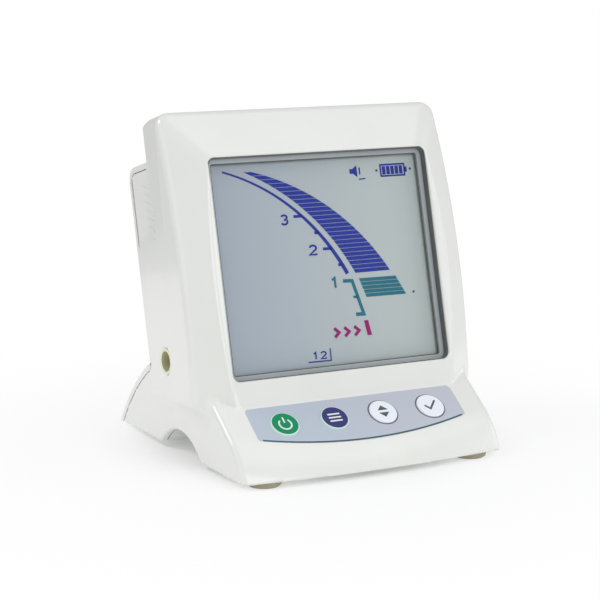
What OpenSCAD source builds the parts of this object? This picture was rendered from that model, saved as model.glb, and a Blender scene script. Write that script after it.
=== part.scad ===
// Bench-top apex locator: a leaning display head on a two-footed base with a sloped key panel.
// X runs to the viewer's right, the front faces -Y, Z is up and the floor is at z = 0.

/* [Screen] */
// Height of the display opening along the lean
screen_h = 72; // [66:0.5:73]
// Corner radius of the display opening
screen_corner = 2.6; // [1:0.1:4]
// Angle that the display leans back
screen_lean = 14.4; // [12:0.2:17]
// Depth of the display opening
screen_recess = 3; // [2.4:0.1:3.6]
// Distance of the display centre in front of the middle of the base
screen_forward = 16.9; // [15:0.1:18]
// Height of the display centre over the floor
screen_z = 64.5; // [62:0.5:67]
// Width of the grey frame that shows inside the opening
frame_lip = 1.8; // [1:0.1:2.5]
// Thickness of the grey frame and of the lens behind it
frame_t = 1; // [0.8:0.1:1.2]

/* [Head] */
// Widest width, at the front edges of the head
head_w = 104.6; // [103:0.2:107]
// Width of the bevelled border on each side of the display opening
bezel_w = 12; // [11.4:0.1:13]
// Fall of the side bevels from the screen plane
bevel_angle = 31.5; // [28:0.5:34]
// Distance outside the opening where the side bevel crosses the screen plane
bevel_reach = 4.7; // [4:0.1:5.2]
// Rise of the thin inner bevel beside the opening
rim_angle = 24; // [18:1:30]
// Radius of the head's upright crown
crown_r = 250; // [220:5:320]
// Distance of the crown's middle under the display centre
crown_drop = 5; // [2:0.5:8]
// Fall of the forehead from the screen plane
forehead_angle = 32; // [30:0.5:34]
// Height of the forehead, from the opening to the top edge
forehead_h = 17; // [15:0.5:19]
// Depth of the head's side walls behind the screen plane
hood_depth = 32.4; // [31:0.2:34]
// Height over the display centre where the hood's sides start
hood_start = 21; // [18:0.5:24]

/* [Rear body] */
// Step in from the head's front edge to the back and the base, on each side
side_step = 4.5; // [3.8:0.1:5]
// Depth of the body behind the screen plane
body_depth = 48.7; // [47.5:0.1:50]
// Height of the rear body over the display centre
rear_rise = 40; // [38.5:0.5:42]
// Corner radius along the top of the back
rear_corner = 5; // [3.5:0.5:6]
// Height, under the display centre, where the rear foot starts
notch_drop = 25.8; // [24:0.2:28]
// Turn of the rear foot's round back
tail_turn = 28; // [15:1:40]
// Thickness of the rear cover
cover_t = 2.1; // [1.8:0.1:2.4]

/* [Base] */
// Depth of the base over everything
base_d = 100.5; // [98:0.5:104]
// Height of the housing's lower edge over the floor
base_lift = 1.8; // [1.5:0.1:2.2]
// Tilt of the key panel from level
slope_angle = 35; // [33:0.5:37]
// Distance of the row of keys behind the front of the nose
key_line_in = 15.35; // [14.6:0.05:16.2]
// Height of the row of keys over the floor
key_line_z = 16.35; // [15.8:0.1:17]
// Length of the flat slope below the row of keys
slope_low = 8; // [7:0.5:9]
// Turn of the round nose under the slope
nose_turn = 27; // [15:1:35]
// Forward bow of the nose between its corners
nose_bow = 2.9; // [2:0.1:3.5]
// Width of the arch under the body
arch_w = 31; // [26:1:34]
// Height of the arch over the housing's lower edge
arch_h = 7.2; // [6:0.2:8]
// Height where the head's side walls meet the sides of the base
skirt_z = 16; // [15:0.5:18]
// Height of the slanted underside between the head's sides and the base
skirt_rise = 7; // [5:0.5:8]
// Thickness of the base plate
plate_t = 2; // [1.6:0.1:2.4]

/* [Feet] */
// Diameter of a rubber foot
foot_d = 11; // [9:0.5:12]
// Distance of a foot's middle from the side of the base
foot_side = 9.8; // [8.4:0.1:11.8]
// Distance of a foot's middle from the front or the rear of the base
foot_in = 8.25; // [7.85:0.05:10.2]
// Depth that a foot sinks into the base plate
foot_seat = 0.5; // [0.3:0.1:0.8]

/* [Keys] */
// Distance of the outer keys from the ends of the key panel
panel_end = 11.2; // [10.4:0.1:12.2]
// Diameter of a key
key_d = 9.6; // [8.5:0.1:10.2]
// Height of a key over the panel
key_proud = 0.9; // [0.8:0.1:1.4]
// Travel of a key
key_travel = 0.6; // [0.4:0.1:0.7]
// Distance of the key panel's ends from the sides of the base
panel_side = 9.6; // [7.8:0.1:11.8]
// Height of the panel over the row of keys
panel_up = 8.4; // [7.6:0.2:9]
// Height of the panel under the row of keys at its ends
panel_down = 5; // [4.6:0.2:6]
// Extra sag of the panel's lower edge in the middle
panel_sag = 5; // [3:0.2:5.6]
// Thickness of the key panel
panel_t = 0.5; // [0.4:0.1:0.7]

/* [Jack] */
// Distance of the probe jack behind the middle of the base
jack_y = 5.2; // [3:0.2:8]
// Height of the probe jack over the floor
jack_z = 31.6; // [30:0.2:34]
// Bore of the probe jack
jack_bore = 6.3; // [5:0.1:6.8]
// Room between the ends of the jack's contacts and the battery tray
jack_clear = 1.45; // [1:0.05:3]
// Diameter of the collar round the jack
collar_d = 8.8; // [8.6:0.1:10.5]

/* [Batteries] */
// Number of cells
cell_n = 4; // [3:1:4]
// Diameter of a cell
cell_d = 14.5; // [14:0.1:14.6]
// Length of a cell with its nub
cell_l = 50.5; // [48:0.5:51]
// Gap between neighbouring cells
cell_gap = 0.4; // [0.2:0.1:0.6]
// Length that a contact takes at each end of a cell
contact_l = 3.4; // [2.5:0.1:4]

/* [Boards] */
// Thickness of a circuit board
board_t = 1.6; // [1:0.2:2]
// Height of the main board
board_h = 80; // [78:0.5:80.5]
// Height of the key board along the slope
key_board_h = 13; // [12.6:0.2:14]
// Diameter of a board screw's shank
screw_d = 2; // [1.8:0.1:2.4]
// Diameter of a cover screw's shank
cover_screw_d = 2.6; // [2.4:0.1:3]

/* [Walls and clearances] */
// Thickness of the housing walls
wall = 2.4; // [2:0.1:2.6]
// Side clearance of parts that drop into a pocket
slip = 0.2; // [0.1:0.05:0.3]
// Gap along the seams of the housing
seam = 0.1; // [0.05:0.05:0.2]

/* [Hidden] */
$fn = 48;

far = 300;
eps = 0.01;
ivory = [0.90, 0.905, 0.885];
board_green = [0.12, 0.36, 0.22];
steel = [0.72, 0.73, 0.75];
rubber_grey = [0.42, 0.41, 0.34];

// Half widths, depths and heights in the leaning frame of the screen
screen_w = head_w - 2 * bezel_w;
rear_w = head_w - 2 * side_step;
base_w = rear_w;
screen_half = screen_w / 2;
head_half = head_w / 2;
rear_half = rear_w / 2;
crest_out = bevel_reach * tan(bevel_angle);
edge_depth = (head_half - screen_half - bevel_reach) * tan(bevel_angle);
forehead_top = screen_h / 2 + forehead_h;
forehead_depth = forehead_h * tan(forehead_angle);
hood_top_fall = 6;
hood_back_top = forehead_top - (hood_depth - forehead_depth) * tan(hood_top_fall);
side_taper = (head_half - rear_half) / (body_depth - edge_depth);
hood_edge = edge_depth + pow(forehead_top + crown_drop, 2) / (2 * crown_r);
hood_taper = (head_half - rear_half) / (hood_depth - hood_edge);
crown_half_angle = 20;
key_line_forward = base_d / 2 - key_line_in;
chin_drop = (screen_z - key_line_z - (key_line_forward - screen_forward) * tan(slope_angle))
    / (cos(screen_lean) - sin(screen_lean) * tan(slope_angle));

// The stack behind the screen opening, as depths behind the screen plane
stack_lip = 2;
stack_w = screen_w + 2 * stack_lip;
stack_h = screen_h + 2 * stack_lip;
lens_depth = screen_recess + frame_t;
glass_depth = lens_depth + frame_t;
glass_t = 0.7;
reflector_depth = glass_depth + 2 * glass_t;
reflector_t = 2.5;
strip_t = 2.4;
holder_deep = 7;
holder_side = 3.7;
holder_rail = 2;
holder_corner = 6;
holder_w = stack_w + 2 * holder_side;
holder_h = stack_h + 2 * holder_rail;
board_depth = glass_depth + holder_deep;
board_back = board_depth + board_t;
inner_half = rear_half - wall;
cover_inner = body_depth - cover_t;

// Base outline
nose_y = -base_d / 2;
tail_y = base_d / 2;
base_half = base_w / 2;
base_in = base_half - wall - slip;
foot_x = base_half - foot_side;
foot_y = base_d / 2 - foot_in;
panel_w = base_w - 2 * panel_side;
key_pitch = (panel_w - 2 * panel_end) / 3;
slope_top = 11;
root_in = 12;
root_low = 6;
bow_r = (base_half * base_half + nose_bow * nose_bow) / (2 * nose_bow);
arch_r = (arch_w * arch_w / 4 + arch_h * arch_h) / (2 * arch_h);

// Keys, measured along the panel's normal
key_hole = key_d + 2 * slip;
flange_w = 1.2;
flange_t = 1;
flange_top = -wall - panel_t - seam;
key_foot = flange_top - flange_t;
plunger_top = key_foot - key_travel - seam / 2;
plunger_h = 0.8;
switch_h = 2;
switch_w = 6;
key_board_top = plunger_top - plunger_h - switch_h;
key_board_back = 7.6;
key_board_w = 3 * key_pitch + 20;
key_boss_x = [-1.5 * key_pitch - key_pitch / 2, 0, 1.5 * key_pitch + key_pitch / 2];
key_boss_y = 5;
boss_d = 5;

// Battery bay, along the depth behind the screen plane
bay_mid = (rear_rise - rear_corner - notch_drop) / 2;
tray_wall = 1.5;
door_gap = 0.3;
door_rest = 0.9;
cell_back_gap = 0.6;
cell_depth = cover_inner - cell_back_gap - cell_d / 2;
cell_pitch = cell_d + cell_gap;
tray_in_w = cell_n * cell_pitch + 2;
tray_in_h = cell_l + 2 * contact_l;
tray_floor = cell_depth - cell_d / 2 - seam / 2;

// Screws
head_ratio = 1.9;
head_h = 1.2;
screw_slip = 0.1;
cover_boss_d = 6.4;
cover_boss_x = inner_half - 2;
cover_boss_v = [-18, 30];
cover_boss_l = 10;
cover_screw_l = 8;
plate_boss_x = base_in - cover_boss_d / 2 - slip;
plate_boss_y = foot_y - 8;
plate_screw_l = 6;

// Half width of the inner room at a depth behind the screen plane
function bay_half(d) = d < hood_depth
    ? inner_half + (hood_depth - d) * (head_half - rear_half) / (hood_depth - edge_depth) : inner_half;

// A point of the leaning frame, as depth behind the screen and height along it, in the YZ plane
function leaning(d, v) = [
    -screen_forward + d * cos(screen_lean) + v * sin(screen_lean),
    screen_z + v * cos(screen_lean) - d * sin(screen_lean)];

// A point of the key slope, as distance up the slope and out of it, in the YZ plane
function sloping(up, out) = [
    -key_line_forward + up * cos(slope_angle) - out * sin(slope_angle),
    key_line_z + up * sin(slope_angle) + out * cos(slope_angle)];

// Points on the round arc from p to q that turns clockwise by the given angle
function bow(p, q, turn, n = 8) =
    let (chord = q - p,
        r = norm(chord) / (2 * sin(turn / 2)),
        a0 = atan2(chord[1], chord[0]) + turn / 2)
    [for (i = [0:n]) let (a = turn * i / n)
        p + r * [sin(a0) - sin(a0 - a), cos(a0 - a) - cos(a0)]];

// Unit normal to the right of the step from p to q
function right_of(p, q) = let (s = (q - p) / norm(q - p)) [s[1], -s[0]];

// The open path moved sideways to its right
function beside(path, t) = [for (i = [0:len(path) - 1])
    let (a = right_of(path[max(i - 1, 0)], path[max(i, 1)]),
        b = right_of(path[min(i, len(path) - 2)], path[min(i + 1, len(path) - 1)]))
    path[i] + t * (a + b) / (1 + a * b)];

// The band between a path and its sideways copy
function band(path, t) = concat(path, [for (i = [len(path) - 1:-1:0]) beside(path, t)[i]]);

// The back of the body: over its top corner, down the lean and out over the rear foot
function back_path(top_from) = concat(
    [leaning(top_from, rear_rise)],
    bow(leaning(body_depth - rear_corner, rear_rise), leaning(body_depth, rear_rise - rear_corner), 90, 6),
    bow(leaning(body_depth, -notch_drop), [tail_y, base_lift], tail_turn));

module on_screen() {
    translate([0, -screen_forward, screen_z]) rotate([-screen_lean, 0, 0]) children();
}

module on_slope() {
    translate([0, -key_line_forward, key_line_z]) rotate([slope_angle, 0, 0]) children();
}

// An outline of the YZ plane, as wide as w across X
module across(w) {
    translate([-w / 2, 0, 0]) rotate([90, 0, 90]) linear_extrude(w) children();
}

module rounded(w, h, r) {
    square([w - 2 * r, h], center = true);
    square([w, h - 2 * r], center = true);
    for (sx = [-1, 1], sy = [-1, 1])
        translate([sx * (w / 2 - r), sy * (h / 2 - r)]) circle(r);
}

// A plate that faces the screen's way, from depth d
module plate(w, h, t, d, v = 0, r = 0) {
    translate([0, d + t, v]) rotate([90, 0, 0]) linear_extrude(t)
        if (r > 0) rounded(w, h, r); else square([w, h], center = true);
}

// A screw whose head sits on z = 0 and whose shank points down
module screw(d, l) {
    difference() {
        union() {
            cylinder(d = d * head_ratio, h = head_h);
            translate([0, 0, -l]) cylinder(d = d, h = l + eps);
        }
        for (a = [0, 90]) rotate(a)
            translate([-d / 2, -d / 10, head_h / 2]) cube([d, d / 5, head_h]);
    }
}

// The head's plan, turned about a level axis far behind it, so that its front is crowned
module crowned() {
    back = body_depth + 2;
    reach = crown_r - back;
    half_back = head_half - (back - edge_depth) * side_taper;
    translate([0, crown_r, -crown_drop]) rotate([-90, 0, 0]) rotate([0, 90, 0])
        rotate(-crown_half_angle) rotate_extrude(angle = 2 * crown_half_angle, $fn = 180)
            polygon([
                [reach, -half_back], [crown_r - edge_depth, -head_half], [crown_r + crest_out, -screen_half],
                [crown_r + crest_out, screen_half], [crown_r - edge_depth, head_half], [reach, half_back]]);
}

// Side outline of the head: its front, the hood over the rear body, and the flanks under the hood
module head_outline() {
    front = crest_out + 1;
    tuck = 4;
    polygon([for (p = [
        [-front, -screen_h], [-front, screen_h / 2 - front / tan(forehead_angle)],
        [forehead_depth, forehead_top], [hood_depth, hood_back_top],
        [hood_depth, rear_rise - rear_corner], [hood_depth - tuck, hood_start],
        [body_depth, hood_start], [body_depth, -notch_drop],
        [body_depth - root_in, -screen_h]]) leaning(p[0], p[1])]);
}

// The wedges that narrow the hood towards its back
module hood_sides_cut() {
    back = body_depth + 2;
    for (side = [0, 1]) on_screen() mirror([side, 0, 0]) translate([0, 0, hood_start + slip]) linear_extrude(far)
        polygon([
            [head_half + hood_edge * hood_taper, 0], [head_half - (back - hood_edge) * hood_taper, back],
            [far, back], [far, 0]]);
}

module base_outline() {
    polygon(concat(
        bow(sloping(-slope_low, 0), [nose_y, base_lift], -nose_turn),
        [[tail_y, base_lift]],
        [for (i = [8:-1:0]) bow(leaning(body_depth, -notch_drop), [tail_y, base_lift], tail_turn)[i]],
        [sloping(slope_top, 0)]));
}

module arch_cut(lower = 0) {
    translate([-far / 2, 0, base_lift + arch_h - arch_r - lower]) rotate([0, 90, 0])
        cylinder(r = arch_r, h = far, $fn = 96);
}

// The space over the slanted undersides of the head's flanks
module skirt() {
    translate([0, far / 2, 0]) rotate([90, 0, 0]) linear_extrude(far) polygon([
        [-base_half, skirt_z], [base_half, skirt_z], [head_half, skirt_z + skirt_rise],
        [head_half, far], [-head_half, far], [-head_half, skirt_z + skirt_rise]]);
}

// The whole outer form of the housing
module outer_body() {
    difference() {
        intersection() {
            on_screen() crowned();
            across(head_w) head_outline();
            skirt();
        }
        hood_sides_cut();
    }
    across(rear_w) polygon(concat(back_path(root_in), [
        leaning(body_depth - root_in, -notch_drop - root_low), leaning(root_in, -notch_drop - root_low)]));
    intersection() {
        across(base_w) base_outline();
        translate([0, nose_y + bow_r, 0]) cylinder(r = bow_r, h = far, $fn = 180);
    }
}

// A level slice of the inner room, from the main board to a depth behind the screen plane
module bay_plan(back) {
    turn = min(hood_depth, back);
    polygon([
        [-bay_half(board_depth), board_depth - eps], [bay_half(board_depth), board_depth - eps],
        [bay_half(turn), turn], [bay_half(back), back], [-bay_half(back), back], [-bay_half(turn), turn]]);
}

// The inner room: the pockets of the display, the bay behind it, the head's top and the base under it
module inner_room() {
    slope_wall = wall + panel_t;
    head_room = 3;
    valley = 6;
    on_screen() {
        plate(stack_w + 2 * slip, stack_h + 2 * slip, frame_t * 2 + eps, screen_recess);
        plate(holder_w + 2 * slip, holder_h + 2 * slip, holder_deep + eps, glass_depth, 0, holder_corner);
        translate([0, 0, hood_start]) linear_extrude(rear_rise + head_room - hood_start)
            bay_plan(hood_depth - wall);
    }
    intersection() {
        on_screen() translate([0, 0, -screen_h]) linear_extrude(screen_h + rear_rise - wall)
            bay_plan(body_depth + 1);
        translate([-far / 2, -far / 2, skirt_z + skirt_rise / 2]) cube(far);
    }
    across(2 * base_in) intersection() {
        polygon(concat(
            beside(bow(sloping(-slope_low, 0), [nose_y, base_lift], -nose_turn), -slope_wall),
            [[nose_y + wall, -1], [far, -1], [far, screen_z - screen_h / 2]],
            [leaning(board_depth, -screen_h / 2), leaning(board_depth, -screen_h / 2 - valley)],
            [sloping(slope_top - 1, -slope_wall)]));
        translate([nose_y + wall + nose_bow, -far / 2]) square([base_d + far, far]);
    }
}

module window_cut() {
    on_screen() {
        plate(screen_w, screen_h, far / 10 + screen_recess + eps, -far / 10, 0, screen_corner);
        rise = crest_out + 2;
        translate([0, 0, -chin_drop]) linear_extrude(chin_drop + screen_h)
            polygon([
                [-screen_half, 0], [screen_half, 0], [screen_half + rise / tan(rim_angle), -rise],
                [-screen_half - rise / tan(rim_angle), -rise]]);
    }
}

module panel_shape(grow = 0) {
    r = 2;
    half = panel_w / 2 + grow;
    sag_r = (half * half + panel_sag * panel_sag) / (2 * panel_sag);
    intersection() {
        translate([0, (panel_up - panel_down - panel_sag) / 2])
            rounded(2 * half, panel_up + panel_down + panel_sag + 2 * grow, r);
        translate([0, sag_r - panel_down - panel_sag - grow]) circle(sag_r, $fn = 180);
    }
}

module key_places() {
    for (i = [0:3]) translate([(i - 1.5) * key_pitch, 0, 0]) children();
}

module foot_places() {
    for (sx = [-1, 1], sy = [-1, 1]) translate([sx * foot_x, sy * foot_y, 0]) children();
}

// The four places of the cover screws, with z along the screw and out of the cover
module cover_screw_places() {
    for (sx = [-1, 1], v = cover_boss_v)
        on_screen() translate([sx * cover_boss_x, body_depth, v]) rotate([-90, 0, 0]) children();
}

module plate_screw_places() {
    for (sx = [-1, 1], sy = [-1, 1])
        translate([sx * plate_boss_x, sy * plate_boss_y, base_lift]) mirror([0, 0, 1]) children();
}

module display_screw_places() {
    for (sx = [-1, 1], sv = [-1, 1])
        on_screen() translate([sx * (holder_w / 2 - holder_side / 2), board_back, sv * screen_h / 4])
            rotate([-90, 0, 0]) children();
}

// The probe jack's place on the left wall, with z along its axis and out of the wall
jack_d = (jack_y + screen_forward) * cos(screen_lean) - (jack_z - screen_z) * sin(screen_lean);
jack_wall = head_half - (jack_d - edge_depth) * side_taper;
jack_seat = wall + 3;
collar_sunk = 0.6;
module at_jack() {
    translate([-jack_wall, jack_y, jack_z]) rotate([0, -90, 0]) children();
}

// The back cover's band with its seam gap, used to part the housing
module cover_band(gap = 0) {
    across(far / 2) polygon(band([for (p = back_path(hood_depth + seam - gap)) p], cover_t + gap));
}

// The space inside the back cover, up to a gap from its inner face
module inside_cover(gap) {
    across(far / 2) polygon(concat(beside(back_path(hood_depth), cover_t + gap), [[-far, -far], [-far, far]]));
}

module main_housing() {
    color(ivory) difference() {
        union() {
            difference() {
                outer_body();
                inner_room();
            }
            intersection() {
                outer_body();
                union() {
                    cover_screw_places() translate([0, 0, -cover_t - seam - cover_boss_l])
                        cylinder(d = cover_boss_d, h = cover_boss_l);
                    on_slope() for (x = key_boss_x)
                        translate([x, key_boss_y, key_board_top])
                            cylinder(d = boss_d, h = -key_board_top);
                    at_jack() translate([0, 0, -jack_seat]) cylinder(d = collar_d + 4, h = jack_seat);
                    for (sx = [-1, 1]) translate([sx * plate_boss_x, -plate_boss_y, base_lift + plate_t + seam])
                        cylinder(d = cover_boss_d, h = 12);
                }
            }
        }
        window_cut();
        arch_cut();
        cover_band(seam);
        across(far / 2) polygon(concat(back_path(hood_depth), [[far, 0], [far, far]]));
        on_slope() {
            translate([0, 0, -panel_t]) linear_extrude(far / 10) panel_shape(slip);
            key_places() translate([0, 0, -wall - panel_t - 1]) cylinder(d = key_hole, h = wall + 2);
            for (x = key_boss_x) translate([x, key_boss_y, key_board_top - 1])
                cylinder(d = screw_d + 2 * screw_slip, h = 5);
        }
        at_jack() {
            translate([0, 0, -jack_seat - 1]) cylinder(d = collar_d - 1 + 2 * slip, h = jack_seat + 2);
            translate([0, 0, -collar_sunk]) cylinder(d = collar_d + 2 * slip, h = collar_sunk + 1);
        }
        cover_screw_places() translate([0, 0, -cover_screw_l - 1])
            cylinder(d = cover_screw_d + 2 * screw_slip, h = cover_screw_l);
        display_screw_places() translate([0, 0, screen_recess - board_back - 0.3])
            cylinder(d = screw_d + 2 * screw_slip, h = board_back);
        plate_screw_places() translate([0, 0, -plate_t - plate_screw_l - 1])
            cylinder(d = cover_screw_d + 2 * screw_slip, h = plate_screw_l + 1);
        foot_places() cylinder(d = foot_d + 2 * slip, h = base_lift + foot_seat);
    }
}

module door_shape(grow = 0) {
    reach = 2 * (door_rest + grow);
    rounded(tray_in_w + reach, tray_in_h + reach, 2);
}

module rear_cover() {
    color(ivory) difference() {
        union() {
            intersection() {
                across(rear_w) polygon(band(back_path(hood_depth + seam), cover_t));
                translate([-far / 2, -far / 2, base_lift]) cube(far);
            }
            intersection() {
                for (sx = [-1, 1]) translate([sx * plate_boss_x, plate_boss_y, base_lift + plate_t + seam])
                    cylinder(d = cover_boss_d, h = far / 10);
                inside_cover(-cover_t / 2);
            }
        }
        on_screen() translate([0, body_depth + 1, bay_mid]) rotate([90, 0, 0])
            linear_extrude(cover_t + 2) door_shape(door_gap);
        cover_screw_places() {
            translate([0, 0, -cover_t - 1]) cylinder(d = cover_screw_d + 2 * screw_slip, h = cover_t + 2);
            translate([0, 0, -head_h]) cylinder(d = cover_screw_d * head_ratio + 0.4, h = head_h + 1);
        }
        plate_screw_places() translate([0, 0, -plate_t - plate_screw_l - 1])
            cylinder(d = cover_screw_d + 2 * screw_slip, h = plate_screw_l + 1);
        foot_places() cylinder(d = foot_d + 2 * slip, h = base_lift + foot_seat);
    }
}

module base_plate() {
    color(ivory) difference() {
        intersection() {
            translate([slip - base_in, nose_y + wall + nose_bow + slip, base_lift])
                cube([2 * (base_in - slip), base_d, arch_h + plate_t]);
            inside_cover(slip);
            union() {
                translate([-far / 2, -far / 2, 0]) cube([far, far, base_lift + plate_t]);
                arch_cut(-plate_t);
            }
        }
        arch_cut();
        plate_screw_places() {
            translate([0, 0, -plate_t - 1]) cylinder(d = cover_screw_d + 2 * screw_slip, h = plate_t + 2);
            translate([0, 0, -head_h]) cylinder(d = cover_screw_d * head_ratio + 0.4, h = head_h + 1);
        }
        foot_places() cylinder(d = foot_d + 2 * slip, h = base_lift + foot_seat);
    }
}

module battery_door() {
    color(ivory) on_screen() translate([0, body_depth, bay_mid]) rotate([90, 0, 0]) difference() {
        linear_extrude(cover_t) door_shape();
        for (i = [-2:2]) translate([0, tray_in_h / 2 - 8 + i * 1.8, 0])
            cube([18, 0.8, 0.8], center = true);
    }
}

module key_panel() {
    color([0.73, 0.76, 0.81]) on_slope() translate([0, 0, -panel_t]) difference() {
        linear_extrude(panel_t) panel_shape();
        key_places() translate([0, 0, -1]) cylinder(d = key_hole, h = panel_t + 2);
    }
}

module key(place, paint) {
    color(paint) on_slope() translate([(place - 1.5) * key_pitch, 0, 0]) {
        translate([0, 0, key_foot]) cylinder(d = key_d + 2 * flange_w, h = flange_t);
        translate([0, 0, flange_top - eps]) cylinder(d = key_d, h = key_proud - flange_top + eps);
    }
}

module power_key() { key(0, [0.08, 0.55, 0.37]); }
module mode_key() { key(1, [0.23, 0.23, 0.47]); }
module select_key() { key(2, [0.92, 0.94, 0.99]); }
module set_key() { key(3, [0.92, 0.94, 0.99]); }

module key_switches() {
    color([0.12, 0.12, 0.13]) on_slope() key_places() {
        translate([-switch_w / 2, -switch_w / 2, key_board_top]) cube([switch_w, switch_w, switch_h]);
        translate([0, 0, key_board_top + switch_h - eps]) cylinder(d = switch_w * 0.55, h = plunger_h + eps);
    }
}

module key_board() {
    color(board_green) on_slope() difference() {
        translate([-key_board_w / 2, key_board_back - key_board_h, key_board_top - board_t])
            cube([key_board_w, key_board_h, board_t]);
        for (x = key_boss_x) translate([x, key_boss_y, key_board_top - board_t - 1])
            cylinder(d = screw_d + 2 * screw_slip, h = board_t + 2);
    }
}

module key_board_screws() {
    color(steel) on_slope() for (x = key_boss_x)
        translate([x, key_boss_y, key_board_top - board_t]) mirror([0, 0, 1]) screw(screw_d, board_t + 3.5);
}

module display_frame() {
    color([0.62, 0.65, 0.66]) on_screen() difference() {
        plate(stack_w, stack_h, frame_t, screen_recess);
        plate(screen_w - 2 * frame_lip, screen_h - 2 * frame_lip, frame_t + 2, screen_recess - 1, 0, 1);
    }
}

module display_lens() {
    color([0.80, 0.86, 0.88, 0.4]) on_screen() plate(stack_w, stack_h, frame_t, lens_depth);
}

module lcd_front_glass() {
    color([0.64, 0.68, 0.71]) on_screen()
        plate(stack_w - 2 * slip, stack_h - 2 * strip_t - 1, glass_t, glass_depth);
}

module lcd_rear_glass() {
    color([0.64, 0.68, 0.71]) on_screen()
        plate(stack_w - 2 * slip, stack_h - 2 * slip, glass_t, glass_depth + glass_t);
}

module lcd_reflector() {
    color([0.85, 0.86, 0.86]) on_screen()
        plate(stack_w - 6, stack_h - 2 * strip_t - 2, reflector_t, reflector_depth);
}

module display_holder() {
    color([0.20, 0.21, 0.22]) difference() {
        on_screen() difference() {
            plate(holder_w, holder_h, holder_deep, glass_depth, 0, holder_corner);
            plate(stack_w, stack_h, holder_deep + 2, glass_depth - 1);
        }
        display_screw_places() translate([0, 0, -board_back - 1])
            cylinder(d = screw_d + 2 * screw_slip, h = board_back + 2);
    }
}

module contact_strip(side) {
    color([0.30, 0.30, 0.32]) on_screen()
        plate(stack_w - 10, strip_t, board_depth - reflector_depth, reflector_depth,
            side * (stack_h / 2 - slip - strip_t / 2));
}

module upper_contact_strip() { contact_strip(1); }
module lower_contact_strip() { contact_strip(-1); }

module main_board() {
    color(board_green) difference() {
        on_screen() plate(holder_w, board_h, board_t, board_depth);
        display_screw_places() translate([0, 0, -board_t - 1])
            cylinder(d = screw_d + 2 * screw_slip, h = board_t + 2);
    }
}

module display_screws() {
    color(steel) display_screw_places() screw(screw_d, board_back - screen_recess);
}

// A box that stands on the back of the main board
module on_board(x, v, w, h, t) {
    on_screen() translate([x, 0, 0]) plate(w, h, t, board_back, v);
}

// Sizes and places of what stands on the main board
chip_w = 14;
chip_t = 1.6;
small_chip_w = 5;
small_chip_gap = 4;
lower_row = -screen_h * 0.28;
can_d = 5;
can_h = 8;
can_pitch = 8;
speaker_d = 20;
speaker_h = 6;
speaker_hole = 3;
module processor() { color([0.10, 0.10, 0.11]) on_board(0, chip_w / 2, chip_w, chip_w, chip_t); }

module signal_chips() {
    color([0.10, 0.10, 0.11]) for (i = [0:2])
        on_board(-screen_w * 0.3 + i * (small_chip_w + small_chip_gap), lower_row, small_chip_w, small_chip_w, chip_t);
}

module capacitors() {
    color([0.15, 0.17, 0.30]) for (i = [0:2])
        on_screen() translate([screen_w * 0.22 + i * can_pitch, board_back, lower_row]) rotate([-90, 0, 0])
            cylinder(d = can_d, h = can_h);
}

module speaker() {
    color([0.08, 0.08, 0.09]) on_screen() translate([screen_w * 0.35, board_back, screen_h / 3])
        rotate([-90, 0, 0]) difference() {
            cylinder(d = speaker_d, h = speaker_h);
            translate([0, 0, speaker_h - 1]) cylinder(d = speaker_hole, h = 2);
        }
}

ribbon_t = 0.3;
ribbon_w = 12;
socket_h = 2.4;
socket_w = 16;
socket_x = -13;
socket_v = -board_h / 2 + 4;
module ribbon_sockets() {
    color([0.88, 0.86, 0.78]) {
        on_board(socket_x, socket_v, socket_w, 4, socket_h);
        on_slope() translate([socket_x - socket_w / 2, key_board_back - 4, key_board_top - board_t - socket_h])
            cube([socket_w, 4, socket_h]);
    }
}

// A flat cable along a path of the YZ plane
module ribbon(path, w, x = 0) {
    color([0.86, 0.84, 0.78]) translate([x, 0, 0]) across(w) polygon(band(path, ribbon_t));
}

module key_ribbon() {
    socket_mid = key_board_top - board_t - socket_h / 2;
    ribbon([sloping(key_board_back, socket_mid), sloping(key_board_back + 3, socket_mid),
        leaning(board_back + socket_h + 2, socket_v - 3), leaning(board_back + socket_h + 1, socket_v),
        leaning(board_back + socket_h, socket_v)], ribbon_w, socket_x);
}

module jack_collar() {
    lip = 0.3;
    color([0.85, 0.84, 0.70]) at_jack() difference() {
        union() {
            translate([0, 0, -jack_seat]) cylinder(d = collar_d - 1, h = jack_seat);
            translate([0, 0, -collar_sunk]) cylinder(d = collar_d, h = collar_sunk + lip);
        }
        translate([0, 0, -jack_seat - 1]) cylinder(d = jack_bore + 2 * slip, h = jack_seat + 3);
    }
}

jack_block = 10;
jack_back = 2;
jack_tab_l = 3;
jack_tab_w = 1.6;
jack_tab_t = 0.6;
jack_tab_pitch = 3;
jack_deep = jack_wall - tray_in_w / 2 - tray_wall - jack_clear - jack_tab_l - jack_back;
jack_ribbon_w = 5;
module probe_jack() {
    color([0.10, 0.10, 0.10]) at_jack() difference() {
        translate([-jack_block / 2, -jack_block / 2, -jack_deep - jack_back])
            cube([jack_block, jack_block, jack_deep + jack_back - jack_seat - seam]);
        translate([0, 0, -jack_deep]) cylinder(d = jack_bore, h = jack_deep);
    }
}

module jack_contacts() {
    color([0.80, 0.66, 0.30]) at_jack() for (i = [-1:1])
        translate([-jack_tab_w / 2, i * jack_tab_pitch - jack_tab_t / 2, -jack_deep - jack_back - jack_tab_l])
            cube([jack_tab_w, jack_tab_t, jack_tab_l]);
}

module jack_ribbon() {
    tab_y = jack_y - jack_tab_pitch - jack_tab_t / 2;
    ribbon([[tab_y, jack_z], [tab_y - 3, jack_z], leaning(board_back, -screen_h / 3)],
        jack_ribbon_w, jack_ribbon_w / 2 - jack_wall + jack_deep + jack_back + seam);
}

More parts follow.
